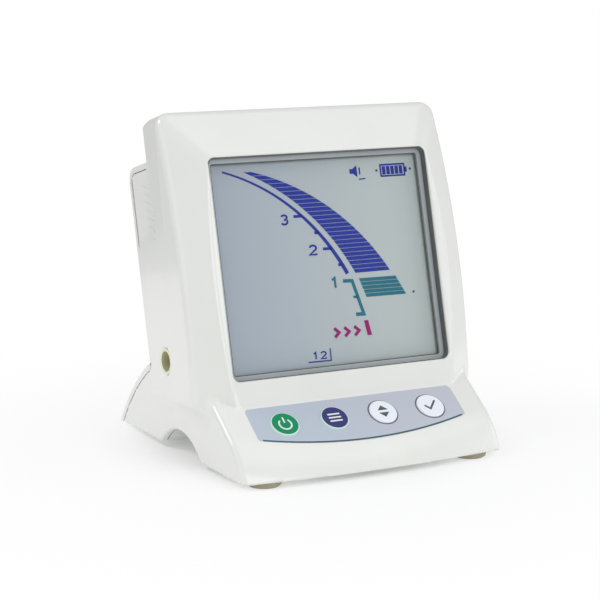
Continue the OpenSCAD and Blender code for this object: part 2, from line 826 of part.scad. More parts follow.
module battery_tray() {
    color([0.82, 0.83, 0.81]) on_screen() difference() {
        plate(tray_in_w + 2 * tray_wall, tray_in_h + 2 * tray_wall, cover_inner - tray_floor + tray_wall,
            tray_floor - tray_wall, bay_mid);
        plate(tray_in_w, tray_in_h, body_depth, tray_floor, bay_mid);
    }
}

// The places of the cells, with z along a cell towards its nub; every second cell is turned over
module cell_place(i) {
    on_screen() translate([(i - (cell_n - 1) / 2) * cell_pitch, cell_depth, bay_mid])
        rotate([i % 2 == 0 ? 0 : 180, 0, 0]) children();
}

module battery_cell(i) {
    nub_l = 1;
    if (i < cell_n) color([0.25, 0.33, 0.45]) cell_place(i) {
        translate([0, 0, -cell_l / 2]) cylinder(d = cell_d, h = cell_l - nub_l);
        translate([0, 0, cell_l / 2 - nub_l - eps]) cylinder(d = 5.5, h = nub_l + eps);
    }
}

module battery_cell_1() { battery_cell(0); }
module battery_cell_2() { battery_cell(1); }
module battery_cell_3() { battery_cell(2); }
module battery_cell_4() { battery_cell(3); }

module cell_springs() {
    color(steel) for (i = [0:cell_n - 1]) cell_place(i)
        translate([0, 0, -cell_l / 2 - contact_l]) rotate_extrude()
            polygon([[4.4, 0], [5, 0], [3.6, contact_l], [3, contact_l]]);
}

module cell_plates() {
    color(steel) for (i = [0:cell_n - 1]) cell_place(i) translate([0, 0, cell_l / 2]) {
        cylinder(d = 4, h = contact_l);
        translate([-4.5, -4.5, contact_l - 0.4]) cube([9, 9, 0.4]);
    }
}

module battery_ribbon() {
    start = tray_floor - tray_wall;
    drop = screen_h / 6;
    ribbon([for (p = [[start, -drop], [(start + board_back) / 2, -drop], [board_back + socket_h, -drop * 2 / 3],
        [board_back, -drop * 2 / 3]]) leaning(p[0], p[1])], ribbon_w / 2, socket_w);
}

module cover_screws() {
    color(steel) cover_screw_places() translate([0, 0, -head_h]) screw(cover_screw_d, cover_screw_l - head_h);
}

module plate_screws() {
    color(steel) plate_screw_places() translate([0, 0, -head_h]) screw(cover_screw_d, plate_screw_l);
}

module foot(sx, sy) {
    edge = 0.6;
    color(rubber_grey) translate([sx * foot_x, sy * foot_y, 0]) {
        translate([0, 0, edge]) cylinder(d = foot_d, h = base_lift + foot_seat - edge);
        cylinder(d1 = foot_d - 2 * edge, d2 = foot_d, h = edge);
    }
}

module foot_front_left() { foot(-1, -1); }
module foot_front_right() { foot(1, -1); }
module foot_rear_left() { foot(-1, 1); }
module foot_rear_right() { foot(1, 1); }

main_housing();
rear_cover();
base_plate();
battery_door();
key_panel();
power_key();
mode_key();
select_key();
set_key();
key_switches();
key_board();
key_board_screws();
display_frame();
display_lens();
lcd_front_glass();
lcd_rear_glass();
lcd_reflector();
display_holder();
upper_contact_strip();
lower_contact_strip();
main_board();
display_screws();
processor();
signal_chips();
capacitors();
speaker();
ribbon_sockets();
key_ribbon();
jack_collar();
probe_jack();
jack_contacts();
jack_ribbon();
battery_tray();
battery_cell_1();
battery_cell_2();
battery_cell_3();
battery_cell_4();
cell_springs();
cell_plates();
battery_ribbon();
cover_screws();
plate_screws();
foot_front_left();
foot_front_right();
foot_rear_left();
foot_rear_right();
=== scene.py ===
# %% [markdown]
# A bench-top apex locator is a small measuring instrument: a leaning display and four keys on an arched base.
# Its CAD frame holds the exact pieces and their joints. It could be rendered as it is,
# but its edges are sharp and its display is blank, so this lesson dresses it.
# All sizes are in millimetres here and become metres where a mesh is made.

# %% Load the frame
import bpy
import math
import numpy as np
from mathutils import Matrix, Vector
from mathutils.geometry import tessellate_polygon


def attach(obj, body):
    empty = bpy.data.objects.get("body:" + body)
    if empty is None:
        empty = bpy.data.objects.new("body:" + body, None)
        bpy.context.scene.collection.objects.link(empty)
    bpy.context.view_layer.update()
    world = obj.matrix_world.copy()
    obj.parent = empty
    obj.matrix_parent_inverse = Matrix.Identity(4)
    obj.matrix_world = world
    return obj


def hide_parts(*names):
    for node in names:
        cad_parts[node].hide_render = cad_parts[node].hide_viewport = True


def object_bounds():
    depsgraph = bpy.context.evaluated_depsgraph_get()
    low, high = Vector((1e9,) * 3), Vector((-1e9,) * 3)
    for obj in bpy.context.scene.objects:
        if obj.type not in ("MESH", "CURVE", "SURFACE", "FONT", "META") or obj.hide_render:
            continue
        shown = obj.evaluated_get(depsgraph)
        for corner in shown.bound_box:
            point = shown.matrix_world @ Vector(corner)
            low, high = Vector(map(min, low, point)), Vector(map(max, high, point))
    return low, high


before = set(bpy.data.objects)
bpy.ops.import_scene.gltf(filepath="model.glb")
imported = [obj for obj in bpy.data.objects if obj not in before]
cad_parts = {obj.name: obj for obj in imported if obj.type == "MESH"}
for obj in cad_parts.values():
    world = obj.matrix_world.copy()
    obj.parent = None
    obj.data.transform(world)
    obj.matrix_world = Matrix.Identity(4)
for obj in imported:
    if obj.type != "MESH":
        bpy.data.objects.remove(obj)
CAD_BOUNDS = [list(c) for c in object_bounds()]
print("CAD box", CAD_BOUNDS)

# %% [markdown]
# The display leans back and the key slope tilts up, so few faces lie along the world's axes.
# A rotated empty could carry each tilted frame. Two functions do it here, because they take arrays of points.
# The leaning frame has x, the depth d behind the screen and the height v along it.
# The sloping frame has x, the way up the slope and the height out of it.

# %% Tilted frames
MM = 0.001
LEAN, SLOPE = math.radians(14.4), math.radians(35)
LEAN_COS, LEAN_SIN = math.cos(LEAN), math.sin(LEAN)
SLOPE_COS, SLOPE_SIN = math.cos(SLOPE), math.sin(SLOPE)
SCREEN_Y, SCREEN_Z = -16.9, 64.5
KEY_Y, KEY_Z = -34.9, 16.35


def leaning(x, d, v):
    """World place of a point of the leaning frame."""
    return np.stack([x, SCREEN_Y + d * LEAN_COS + v * LEAN_SIN, SCREEN_Z + v * LEAN_COS - d * LEAN_SIN], -1)


def sloping(x, up, out):
    """World place of a point of the sloping frame."""
    y = KEY_Y + up * SLOPE_COS - out * SLOPE_SIN
    return np.stack([x, y, KEY_Z + up * SLOPE_SIN + out * SLOPE_COS], -1)


print("10 mm behind the screen is", leaning(0.0, 10.0, 0.0))

# %% [markdown]
# Every finish is a small graph of shader nodes, which could be wired by hand in Blender's shader editor.
# It is written as arithmetic here, because that reads from top to bottom and can be used again.
# The class Socket wraps one output of a node, and a sum or a product of sockets makes Math nodes.

# %% Shader arithmetic
def operators(operation):
    """An operator on sockets and its reflected form, so that 1 - mask works like mask - 1."""
    def straight(self, other):
        return self.graph.node("ShaderNodeMath", {"operation": operation}, {0: self, 1: other})

    def reflected(self, other):
        return self.graph.node("ShaderNodeMath", {"operation": operation}, {0: other, 1: self})

    return straight, reflected


class Socket:
    """One output of a shader node, which takes part in arithmetic."""
    __add__, __radd__ = operators("ADD")
    __sub__, __rsub__ = operators("SUBTRACT")
    __mul__, __rmul__ = operators("MULTIPLY")
    __truediv__, __rtruediv__ = operators("DIVIDE")
    __pow__, __rpow__ = operators("POWER")

    def __init__(self, graph, output):
        self.graph = graph
        self.output = output

    def step(self, low, high):
        """0 under low, 1 over high and a smooth rise between them."""
        return self.graph.node("ShaderNodeMapRange", {"interpolation_type": "SMOOTHSTEP"},
                               {"Value": self, "From Min": low, "From Max": high})


print("reflected", [name for name in vars(Socket) if name.startswith("__r")])

# %% [markdown]
# The class Graph holds the nodes of a material or of the world. One method makes any node,
# and the others give short names to the few that the finishes share.
# Colours are given as on a screen, and srgb turns them into the linear values that shaders take.

# %% Shader graph
BUMP_DISTANCE = 0.0002


class Graph:
    """The shader nodes of a material or of the world."""

    def __init__(self, name, kind="materials"):
        self.owner = getattr(bpy.data, kind).new(name)
        self.owner.use_nodes = True
        self.tree = self.owner.node_tree
        self.tree.nodes.clear()

    def node(self, kind, settings=None, inputs=None, output=0):
        """Any node, from its type, its settings and a value or a link for each input."""
        made = self.tree.nodes.new(kind)
        for name, value in (settings or {}).items():
            setattr(made, name, value)
        for name, value in (inputs or {}).items():
            if isinstance(value, Socket):
                self.tree.links.new(value.output, made.inputs[name])
            else:
                made.inputs[name].default_value = value
        return Socket(self, made.outputs[output]) if len(made.outputs) else None

    def position(self):
        return self.node("ShaderNodeNewGeometry", output="Position")

    def place(self):
        """The shaded point's x, y and z in millimetres, as three sockets."""
        parts = self.node("ShaderNodeSeparateXYZ", {}, {0: self.position()})
        return [Socket(self, output) * (1 / MM) for output in parts.output.node.outputs]

    def noise(self, scale, detail, rough=0.5):
        inputs = {"Vector": self.position(), "Scale": scale, "Detail": detail, "Roughness": rough}
        return self.node("ShaderNodeTexNoise", {}, inputs, "Fac")

    def mix(self, factor, first, second):
        return self.node("ShaderNodeMix", {"data_type": "RGBA"}, {0: factor, 6: first, 7: second}, 2)

    def bump(self, height, strength):
        inputs = {"Height": height, "Strength": strength, "Distance": BUMP_DISTANCE}
        return self.node("ShaderNodeBump", {}, inputs)

    def finish(self, surface, end="ShaderNodeOutputMaterial"):
        """Close the graph, and give back the material or the world."""
        self.node(end, {}, {"Surface": surface})
        return self.owner

    def principled(self, inputs):
        """Finish the graph with one Principled surface."""
        return self.finish(self.node("ShaderNodeBsdfPrincipled", {}, inputs))


def srgb(*levels):
    """A screen colour from 0 to 255 as the linear colour that shaders take."""
    shares = [level / 255 for level in levels]
    return (*(c / 12.92 if c <= 0.04045 else ((c + 0.055) / 1.055) ** 2.4 for c in shares), 1.0)


print("middle grey as a linear colour", srgb(128, 128, 128))

# %% [markdown]
# Most pieces are moulded, rolled or printed, and none of them has one flat colour.
# An image texture could show that, but it would need a file and an unwrapped mesh.
# One recipe of noise makes them all: a colour that drifts in wide patches,
# and a fine grain in the roughness and in a very small bump.

# %% The plastic recipe
PATCH_SCALE, PATCH_FROM, PATCH_TO = 35.0, 0.3, 0.7
COAT_ROUGH = 0.12


def plastic(name, levels, drift, rough, vary=0.08, grain=900.0, bump=0.06, metal=0.0, coat=0.0, spec=0.5):
    """A moulded finish from its screen colour, the colour's drift and its roughness."""
    g = Graph(name)
    wide = g.noise(PATCH_SCALE, 2.0)
    fine = g.noise(grain, 4.0, 0.6)
    colour = srgb(*levels)[:3]
    dark = (*(c * (1 - drift) for c in colour), 1.0)
    light = (*(min(c * (1 + drift), 1.0) for c in colour), 1.0)
    return g.principled({
        "Base Color": g.mix(wide.step(PATCH_FROM, PATCH_TO), dark, light),
        "Roughness": fine * vary + (rough - vary / 2),
        "Metallic": metal, "Coat Weight": coat, "Coat Roughness": COAT_ROUGH, "Specular IOR Level": spec,
        "Normal": g.bump(fine, bump)})


MAT = {
    "body": plastic("ivory_plastic", (231, 232, 228), 0.012, 0.34, vary=0.05,
                    grain=1400.0, bump=0.004, coat=0.75),
    "ledge": plastic("frame_ledge_plastic", (170, 178, 182), 0.05, 0.35),
    # The frame wall's dark grey is partly its own colour and partly painted shade of the recess.
    "wall": plastic("frame_wall_grey_and_shade", (92, 96, 92), 0.08, 0.35, coat=0.2),
    "dark": plastic("black_plastic", (34, 34, 36), 0.1, 0.5),
    "jack": plastic("jack_plastic", (128, 124, 92), 0.08, 0.5),
    "board": plastic("board_mask", (34, 92, 58), 0.12, 0.4, coat=0.3),
    "steel": plastic("plated_steel", (176, 178, 182), 0.06, 0.28, vary=0.1,
                     grain=1500.0, bump=0.08, metal=1.0),
    "brass": plastic("contact_brass", (205, 172, 92), 0.06, 0.3, vary=0.1, metal=1.0),
    "cream": plastic("cream_plastic", (220, 214, 190), 0.04, 0.5),
    "tray": plastic("tray_plastic", (205, 207, 203), 0.03, 0.5),
    "cell": plastic("cell_sleeve", (58, 78, 112), 0.08, 0.3, coat=0.5),
    "rubber": plastic("foot_rubber", (150, 146, 122), 0.1, 0.7, vary=0.1, grain=700.0, bump=0.3),
    "strip": plastic("contact_strip_rubber", (70, 70, 74), 0.1, 0.7),
    "reflector": plastic("reflector_film", (214, 216, 214), 0.02, 0.6),
}
print("finishes", list(MAT))

# %% [markdown]
# The keys, the rings round them, the inks and the display's segments have strong colours.
# They could be painted on one picture, but small pieces with a finish each stay sharp.
# The key faces and the segments mirror less than the rest, so that their colours stay deep.

# %% Key and ink finishes
MATT = 0.2
MAT.update({
    "green": plastic("green_key_face", (10, 138, 92), 0.05, 0.45, spec=MATT),
    "navy": plastic("navy_key_face", (58, 60, 118), 0.05, 0.45, spec=MATT),
    "white": plastic("white_key_cap", (238, 242, 250), 0.015, 0.3, coat=0.4),
    "pale_ring": plastic("pale_key_ring", (208, 232, 226), 0.02, 0.4),
    "dark_ring": plastic("dark_key_ring", (92, 96, 112), 0.04, 0.4),
    "blue": plastic("blue_segment", (44, 60, 156), 0.05, 0.6, spec=MATT),
    "teal": plastic("teal_segment", (44, 118, 136), 0.05, 0.6, spec=MATT),
    "magenta": plastic("magenta_segment", (158, 34, 116), 0.05, 0.6, spec=MATT),
    "ink": plastic("grey_ink", (78, 82, 96), 0.05, 0.5),
    "white_ink": plastic("white_ink", (226, 236, 236), 0.02, 0.5),
    "teal_edge": plastic("teal_edge_ink", (44, 92, 104), 0.05, 0.4),
})
print("finishes", len(MAT))

# %% [markdown]
# The key panel is a metallic film and the display is grey glass. Both grow lighter from left to right, a
# painted light that falls from the right.
# A gradient texture could do that, but a sum of x and a little noise also gives the film its sparkle.
# The window in front is nearly clear: a low alpha is quicker to render than real glass.

# %% Film, glass and window
FIELD_W = 80.0


def field_lit_from_right(name, left, right, grain, speckle, rough, vary, bump, metal=0.0):
    """A field whose colour grows lighter from left to right, painted light that falls from the right."""
    g = Graph(name)
    fine = g.noise(grain, 2.0)
    light_share = g.place()[0] / FIELD_W + 0.5 + (fine - 0.5) * speckle
    return g.principled({
        "Base Color": g.mix(light_share.step(0.0, 1.0), left, right), "Metallic": metal,
        "Roughness": fine * vary + rough, "Normal": g.bump(fine, bump)})


def window():
    """A window that lets light straight through and mirrors a little of the room."""
    g = Graph("clear_window")
    fine = g.noise(500.0, 2.0)
    return g.principled({
        "Base Color": g.mix(fine, (0.05, 0.05, 0.06, 1), (0.08, 0.08, 0.09, 1)),
        "Roughness": fine * 0.05 + 0.08, "Alpha": 0.03})


# Both fields are lighter on the right: painted light falling from the right.
MAT["film"] = field_lit_from_right("panel_film", srgb(186, 196, 210), srgb(193, 198, 210), grain=2600.0, speckle=0.25,
                    rough=0.38, vary=0.1, bump=0.05, metal=0.15)
MAT["lcd"] = field_lit_from_right("display_glass", srgb(172, 183, 195), srgb(191, 202, 201), grain=1600.0, speckle=0.05,
                   rough=0.45, vary=0.05, bump=0.02)
MAT["clear"] = window()
print("finishes", len(MAT))

# %% [markdown]
# The jack on the left side has a pale collar, and its bore is painted a little deeper: painted shade inside
# the hole.
# Two materials could show this. A distance from the jack's axis does it in one,
# and it doesn't depend on how the CAD cut its faces.

# %% The jack's collar
JACK_Y, JACK_Z = 5.2, 31.6
BORE_R, COLLAR_FACE_R = 3.42, 3.6


def collar():
    """The collar's finish: pale outside, with painted shade in the bore."""
    g = Graph("collar_cream")
    y, z = g.place()[1:]
    outside = (((y - JACK_Y) ** 2.0 + (z - JACK_Z) ** 2.0) ** 0.5).step(BORE_R, COLLAR_FACE_R)
    fine = g.noise(900.0, 3.0)
    return g.principled({
        # The deeper colour in the bore is painted shade of the hole.
        "Base Color": g.mix(outside, srgb(206, 203, 168), srgb(228, 228, 204)),
        "Roughness": fine * 0.1 + 0.35, "Normal": g.bump(fine, 0.05)})


MAT["collar"] = collar()
print("finishes", len(MAT))

# %% [markdown]
# A piece is a mesh with a name, a finish and the CAD body that it rides on, so that it moves with its joint.
# It could be modelled by hand, but arrays of points are easier to keep exact.
# The helpers cover the forms that it needs: a skin over rings of points, a turned form and a few outlines.

# %% Pieces, skins and outlines
def piece(name, points, faces, mat, body="housing", smooth=False, normals=None):
    """A mesh from points in millimetres, dressed and riding on a CAD body."""
    mesh = bpy.data.meshes.new(name)
    mesh.from_pydata((np.asarray(points) * MM).tolist(), [], [list(map(int, f)) for f in faces])
    mesh.validate()
    mesh.polygons.foreach_set("use_smooth", [smooth] * len(mesh.polygons))
    if normals is not None:
        mesh.normals_split_custom_set_from_vertices(np.asarray(normals).tolist())
    mesh.materials.append(MAT[mat])
    obj = bpy.data.objects.new(name, mesh)
    bpy.context.scene.collection.objects.link(obj)
    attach(obj, body)
    return obj


def strips(rings, capped=False):
    """Points and faces of a skin over equal closed rings of points."""
    n = len(rings[0])
    faces = []
    for k in range(len(rings) - 1):
        for i in range(n):
            j = (i + 1) % n
            faces.append((k * n + i, k * n + j, (k + 1) * n + j, (k + 1) * n + i))
    if capped:
        faces.append(tuple(range(n))[::-1])
        faces.append(tuple((len(rings) - 1) * n + i for i in range(n)))
    return np.concatenate(rings), faces


def lathe(profile, place, n=64):
    """A turned piece: pairs of radius and height, set in place by a function of x, y and height."""
    a = np.linspace(0, 2 * math.pi, n, endpoint=False)
    return strips([place(r * np.cos(a), r * np.sin(a), np.full(n, h)) for r, h in profile], capped=True)


def arc(cx, cy, r, start, end, n=24):
    """Points of an arc between two angles in degrees."""
    a = np.radians(np.linspace(start, end, n))
    return np.stack([cx + r * np.cos(a), cy + r * np.sin(a)], -1)


def ring(cx, cy, r, n=60):
    return arc(cx, cy, r, 0, 360 - 360 / n, n)


def outline(w, h, r, n=9):
    """Points of a rounded rectangle of half sizes w and h, counter-clockwise."""
    corners = ((w - r, h - r, 0), (r - w, h - r, 90), (r - w, r - h, 180), (w - r, r - h, 270))
    return np.concatenate([arc(cx, cy, r, start, start + 90, n) for cx, cy, start in corners])


print("a rounded outline has", len(outline(2.0, 1.0, 0.5)), "points")

# %% [markdown]
# The film, the rings, the signs and the segments are thin flat pieces, some with holes.
# A curve object could be filled and extruded for each. A slab does the same with plain points,
# and a place function lays it on the slope or on the glass. A stroke is the loop round a pen's line.

# %% Slabs and strokes
def area(loop):
    """The signed area of a loop, positive where it runs counter-clockwise."""
    x, y = loop.T
    return np.sum(x * np.roll(y, -1) - np.roll(x, -1) * y) / 2


def slab(loops, low, high, place):
    """A flat piece from an outer loop and loops of holes, between two heights."""
    loops = [np.asarray(loop, float) for loop in loops]
    loops = [loop if (area(loop) > 0) == (k == 0) else loop[::-1] for k, loop in enumerate(loops)]
    flat = np.concatenate(loops)
    n = len(flat)
    points = np.concatenate([place(flat[:, 0], flat[:, 1], np.full(n, h)) for h in (low, high)])
    faces = []
    for tri in tessellate_polygon([[Vector((x, y, 0)) for x, y in loop] for loop in loops]):
        tri = tri if area(flat[list(tri)]) > 0 else tri[::-1]
        faces += [tuple(i + n for i in tri), tuple(tri[::-1])]
    first = 0
    for loop in loops:
        edge = [first + i for i in range(len(loop))]
        faces += [(i, j, j + n, i + n) for i, j in zip(edge, edge[1:] + edge[:1])]
        first += len(loop)
    return points, faces


def joined(parts):
    """Several pairs of points and faces as one."""
    points, faces, first = [], [], 0
    for part_points, part_faces in parts:
        points.append(part_points)
        faces += [tuple(i + first for i in face) for face in part_faces]
        first += len(part_points)
    return np.concatenate(points), faces


def slabs(loops, low, high, place):
    """Several flat pieces without holes, as one."""
    return joined([slab([loop], low, high, place) for loop in loops])


def stroke(points, width):
    """The loop of a line drawn with a pen of that width, or of a width for each point."""
    points = np.asarray(points, float)
    way = np.diff(points, axis=0)
    way /= np.linalg.norm(way, axis=1, keepdims=True)
    side = np.stack([-way[:, 1], way[:, 0]], -1)
    mean = np.concatenate([side[:1], side[:-1] + side[1:], side[-1:]])
    mean /= np.linalg.norm(mean, axis=1, keepdims=True)
    square = np.concatenate([side[:1], side])
    half = np.broadcast_to(width, len(points)) / 2 / np.maximum(np.sum(mean * square, axis=1), 0.5)
    return np.concatenate([points + mean * half[:, None], (points - mean * half[:, None])[::-1]])


print("a stroke of 10 by 2 has an area of", abs(area(stroke([(0, 0), (10, 0)], 2))))

# %% [markdown]
# The housing is one moulding whose faces run into each other with soft edges.
# Bevel modifiers could come near, but edges of different radius that meet at odd angles break them.
# So it is written as a distance: each face is one number, negative inside,
# and a rounded maximum or minimum joins two of them with an edge of a chosen radius.

# %% Distances
CROWN_R, CROWN_DROP = 250.0, 5.0


def both(a, b, r):
    """What is inside a and inside b, with a round outer edge."""
    return np.minimum(np.maximum(a, b), -r) + np.hypot(np.maximum(a + r, 0), np.maximum(b + r, 0))


def either(a, b, r):
    """What is inside a or inside b, with a round inner corner."""
    return -both(-a, -b, r)


def rounded_box(u, w, half_u, half_w, r):
    """A rounded rectangle in the plane."""
    past_u, past_w = np.abs(u) - half_u + r, np.abs(w) - half_w + r
    outside = np.hypot(np.maximum(past_u, 0), np.maximum(past_w, 0))
    return outside + np.minimum(np.maximum(past_u, past_w), 0) - r


def soft_rise(t):
    """A rise from 0 to 1 with soft ends."""
    t = np.clip(t, 0, 1)
    return t * t * (3 - 2 * t)


def tilted(p):
    """Depth, height and crowned depth in the leaning frame, then the place on the slope."""
    y, z = p[..., 1], p[..., 2]
    d = LEAN_COS * (y - SCREEN_Y) - LEAN_SIN * (z - SCREEN_Z)
    v = LEAN_SIN * (y - SCREEN_Y) + LEAN_COS * (z - SCREEN_Z)
    e = CROWN_R - np.hypot(d - CROWN_R, v + CROWN_DROP)
    up = SLOPE_COS * (y - KEY_Y) + SLOPE_SIN * (z - KEY_Z)
    out = -SLOPE_SIN * (y - KEY_Y) + SLOPE_COS * (z - KEY_Z)
    return d, v, e, up, out


print("30 mm up the crown falls back by", -tilted(leaning(0.0, 0.0, 30.0))[2])

# %% [markdown]
# The head is a crowned block with bevelled sides, a forehead and a hood that narrows to the back.
# Each of these is one plane or one gentle curve, so the whole head is a row of rounded maxima.
# The thin inner bevel beside the display is a second, flatter plane, so the crest bulges in a crescent.
# The side slants, so its number is scaled down to stay a distance.

# %% The head
HEAD_HALF = round(CAD_BOUNDS[1][0] / MM, 2)
REAR_HALF = BASE_HALF = 47.8
SCREEN_HALF_W, SCREEN_HALF_H, SCREEN_CORNER = 40.3, 36.0, 2.6
BEVEL, RIM, BROW = math.radians(31.5), math.radians(24), math.radians(32)
RIM_W, SIDE_SCALE, BODY_DEPTH = 4.7, 0.97, 48.7
HOOD_TOP, HOOD_EDGE, HOOD_DEPTH, HOOD_FALL = 53.0, 11.2, 32.4, 0.03
BROW_DEPTH = (HOOD_TOP - SCREEN_HALF_H) * math.tan(BROW)
FLANK_FROM, FLANK_TAPER = 4.47, 0.1017
HOOD_FADE_FROM, HOOD_FADE, HOOD_BACK_LOW = 10.0, 13.0, 38.0
FLARE_Z, FLARE_OUT, FLARE_UP = 16.0, 4.5, 7.0
BROW_R, RIM_R, EDGE_R, HOOD_R, BACK_R, FLARE_R = 2.2, 0.7, 2.0, 1.0, 0.8, 1.2
CORNER_R, CORNER_LOSS, CORNER_REACH = 5.0, 3.6, 14.0


def side_half(d, v, e):
    """Half the head's width: the hood narrows faster to the back than the flank below it."""
    flank = HEAD_HALF - (e - FLANK_FROM) * FLANK_TAPER
    hood = HEAD_HALF - np.maximum(d - HOOD_EDGE, 0) * (HEAD_HALF - REAR_HALF) / (HOOD_DEPTH - HOOD_EDGE)
    return flank + (np.minimum(hood, flank) - flank) * soft_rise((v - HOOD_FADE_FROM) / HOOD_FADE)


def head(p):
    d, v, e = tilted(p)[:3]
    x = np.abs(p[..., 0])
    bevel = (x - SCREEN_HALF_W - RIM_W) * math.sin(BEVEL) - e * math.cos(BEVEL)
    side = (x - side_half(d, v, e)) * SIDE_SCALE
    brow = (v - SCREEN_HALF_H) * math.sin(BROW) - d * math.cos(BROW)
    top = v - HOOD_TOP + (d - BROW_DEPTH) * HOOD_FALL
    rim = np.minimum(-d, -d * math.cos(RIM) - (x - SCREEN_HALF_W) * math.sin(RIM))
    flare = (x - BASE_HALF) * FLARE_UP - (p[..., 2] - FLARE_Z) * FLARE_OUT
    hood_back = either(d - HOOD_DEPTH, v - HOOD_BACK_LOW, BACK_R)
    corner_r = CORNER_R - CORNER_LOSS * soft_rise((d - BROW_DEPTH) / CORNER_REACH)
    f = both(bevel, brow, BROW_R)
    f = both(f, rim, RIM_R)
    f = both(f, both(side, top, corner_r), EDGE_R)
    f = both(f, hood_back, HOOD_R)
    f = both(f, d - BODY_DEPTH, BACK_R)
    return both(f, flare / math.hypot(FLARE_UP, FLARE_OUT), FLARE_R)


print("the forehead is", round(BROW_DEPTH, 2), "mm deep")

# %% [markdown]
# Behind the head stands a plain leaning box, a little narrower, with a round upper back edge.
# The base has the key slope, a round nose that bows forward, a round rear foot and an arch below.
# The nose could be swept along a curve. Here its circle slides up the slope towards the sides,
# which keeps the nose tangent to the slope everywhere.

# %% The rear body and the base
REAR_TOP, REAR_CORNER, REAR_FRONT, REAR_LOW, REAR_EDGE = 40.0, 5.0, 8.0, -32.0, 0.7
NOSE_R, NOSE_START, NOSE_BOW_R, NOSE_SHARE = 28.47, 8.0, 395.4, 0.514
NOSE_Y = KEY_Y - NOSE_START * SLOPE_COS + SLOPE_SIN * NOSE_R
NOSE_Z = KEY_Z - NOSE_START * SLOPE_SIN - SLOPE_COS * NOSE_R
TAIL_R, TAIL_MID_Y, TAIL_MID_Z = 76.0, -14.25, -38.3
LIFT, ARCH_R, ARCH_TOP = 1.8, 20.28, 9.0
BASE_EDGE, FOOT_EDGE, TAIL_EDGE, ARCH_EDGE = 2.0, 0.8, 0.6, 0.7
JOIN_R, JOIN_MORE, JOIN_FROM, JOIN_REACH = 0.4, 1.2, 44.0, 4.0


def rear(p):
    d, v = tilted(p)[:2]
    f = both(d - BODY_DEPTH, v - REAR_TOP, REAR_CORNER)
    f = np.maximum.reduce([f, REAR_FRONT - d, REAR_LOW - v])
    return both(f, np.abs(p[..., 0]) - REAR_HALF, REAR_EDGE)


def front(p):
    """The key slope and the nose below it. A slide up the slope moves the nose back by NOSE_SHARE of it."""
    up, out = tilted(p)[3:]
    slide = p[..., 0] ** 2 / (2 * NOSE_BOW_R) / NOSE_SHARE
    nose = np.hypot(p[..., 1] - NOSE_Y - slide * SLOPE_COS, p[..., 2] - NOSE_Z - slide * SLOPE_SIN) - NOSE_R
    return np.where(up < slide - NOSE_START, nose, out)


def tail(p):
    """The round of the rear foot."""
    return np.hypot(p[..., 1] - TAIL_MID_Y, p[..., 2] - TAIL_MID_Z) - TAIL_R


def base(p):
    f = both(front(p), np.abs(p[..., 0]) - BASE_HALF, BASE_EDGE)
    f = both(f, LIFT - p[..., 2], FOOT_EDGE)
    return both(f, tail(p), TAIL_EDGE)


def outer(p):
    """The whole outside: the head, the rear body and the base, less the arch."""
    join = JOIN_R + JOIN_MORE * soft_rise((np.abs(p[..., 0]) - JOIN_FROM) / JOIN_REACH)
    f = either(either(head(p), rear(p), BACK_R), base(p), join)
    arch = np.hypot(p[..., 1], p[..., 2] - ARCH_TOP + ARCH_R) - ARCH_R
    return both(f, -arch, ARCH_EDGE)


print("the nose is turned about", (round(NOSE_Y, 2), round(NOSE_Z, 2)))

# %% [markdown]
# A real housing is a hollow moulding of about 3 mm. A solid block would look the same from most sides,
# but not through the opening or with the battery door lifted.
# So the pockets behind the display, the battery bay and the base's room are cut out as plain boxes.

# %% The rooms inside
INNER_HALF, INNER_SPREAD = 45.2, 0.16
STACK = {"half_w": 42.5, "half_h": 38.2, "r": 2.0, "mid": 4.0, "half_d": 1.1}
HOLDER = {"half_w": 46.2, "half_h": 40.2, "r": 6.0, "mid": 8.5, "half_d": 3.6}
BAY_FROM, BAY_TOP, BAY_FLOOR = 11.9, 37.6, 19.5
ROOF_D, ROOF_HALF_D, ROOF_V, ROOF_HALF_V = 20.9, 9.1, 30.0, 13.0
FRONT_WALL, LOW_TOP, LOW_FROM, LOW_STEP_Z, FAR = 2.9, 28.0, 11.0, 22.0, 99.0


def pocket(x, d, v, half_w, half_h, r, mid, half_d):
    """A rounded pocket behind the display, by its half sizes and its middle depth."""
    return np.maximum(rounded_box(x, v, half_w, half_h, r), np.abs(d - mid) - half_d)


def room(p):
    d, v = tilted(p)[:2]
    x, z = np.abs(p[..., 0]), p[..., 2]
    half = INNER_HALF + np.maximum(HOOD_DEPTH - d, 0) * INNER_SPREAD
    bay = np.maximum.reduce([x - half, BAY_FROM - d, v - BAY_TOP, BAY_FLOOR - z])
    roof = np.maximum.reduce([x - half, np.abs(d - ROOF_D) - ROOF_HALF_D, np.abs(v - ROOF_V) - ROOF_HALF_V])
    low = np.maximum.reduce([x - INNER_HALF, front(p) + FRONT_WALL, z - LOW_TOP,
                             LOW_FROM - d - np.where(z > LOW_STEP_Z, 0.0, FAR)])
    return np.minimum.reduce([pocket(x, d, v, **STACK), pocket(x, d, v, **HOLDER), bay, roof, low])


print("from the middle of the body to a wall", -room(leaning(0.0, 30.0, 0.0)))

# %% [markdown]
# The housing also has the opening and the holes for keys and jack, and it ends where the rear cover starts.
# Boolean modifiers could cut these. As distances they cost a line each and leave no stray faces.

# %% The hollow housing
OPENING_DEPTH, OPENING_EDGE = 3.2, 0.35
KEYS, PITCH, KEY_HOLE_R, KEY_HOLE_REACH = 4, 18.0, 5.35, 5.0
JACK_HOLE_R, JACK_HOLE_X = 4.2, -38.0
COVER_T, SEAM = 2.1, 0.1


def key_x(k):
    return (k - (KEYS - 1) / 2) * PITCH


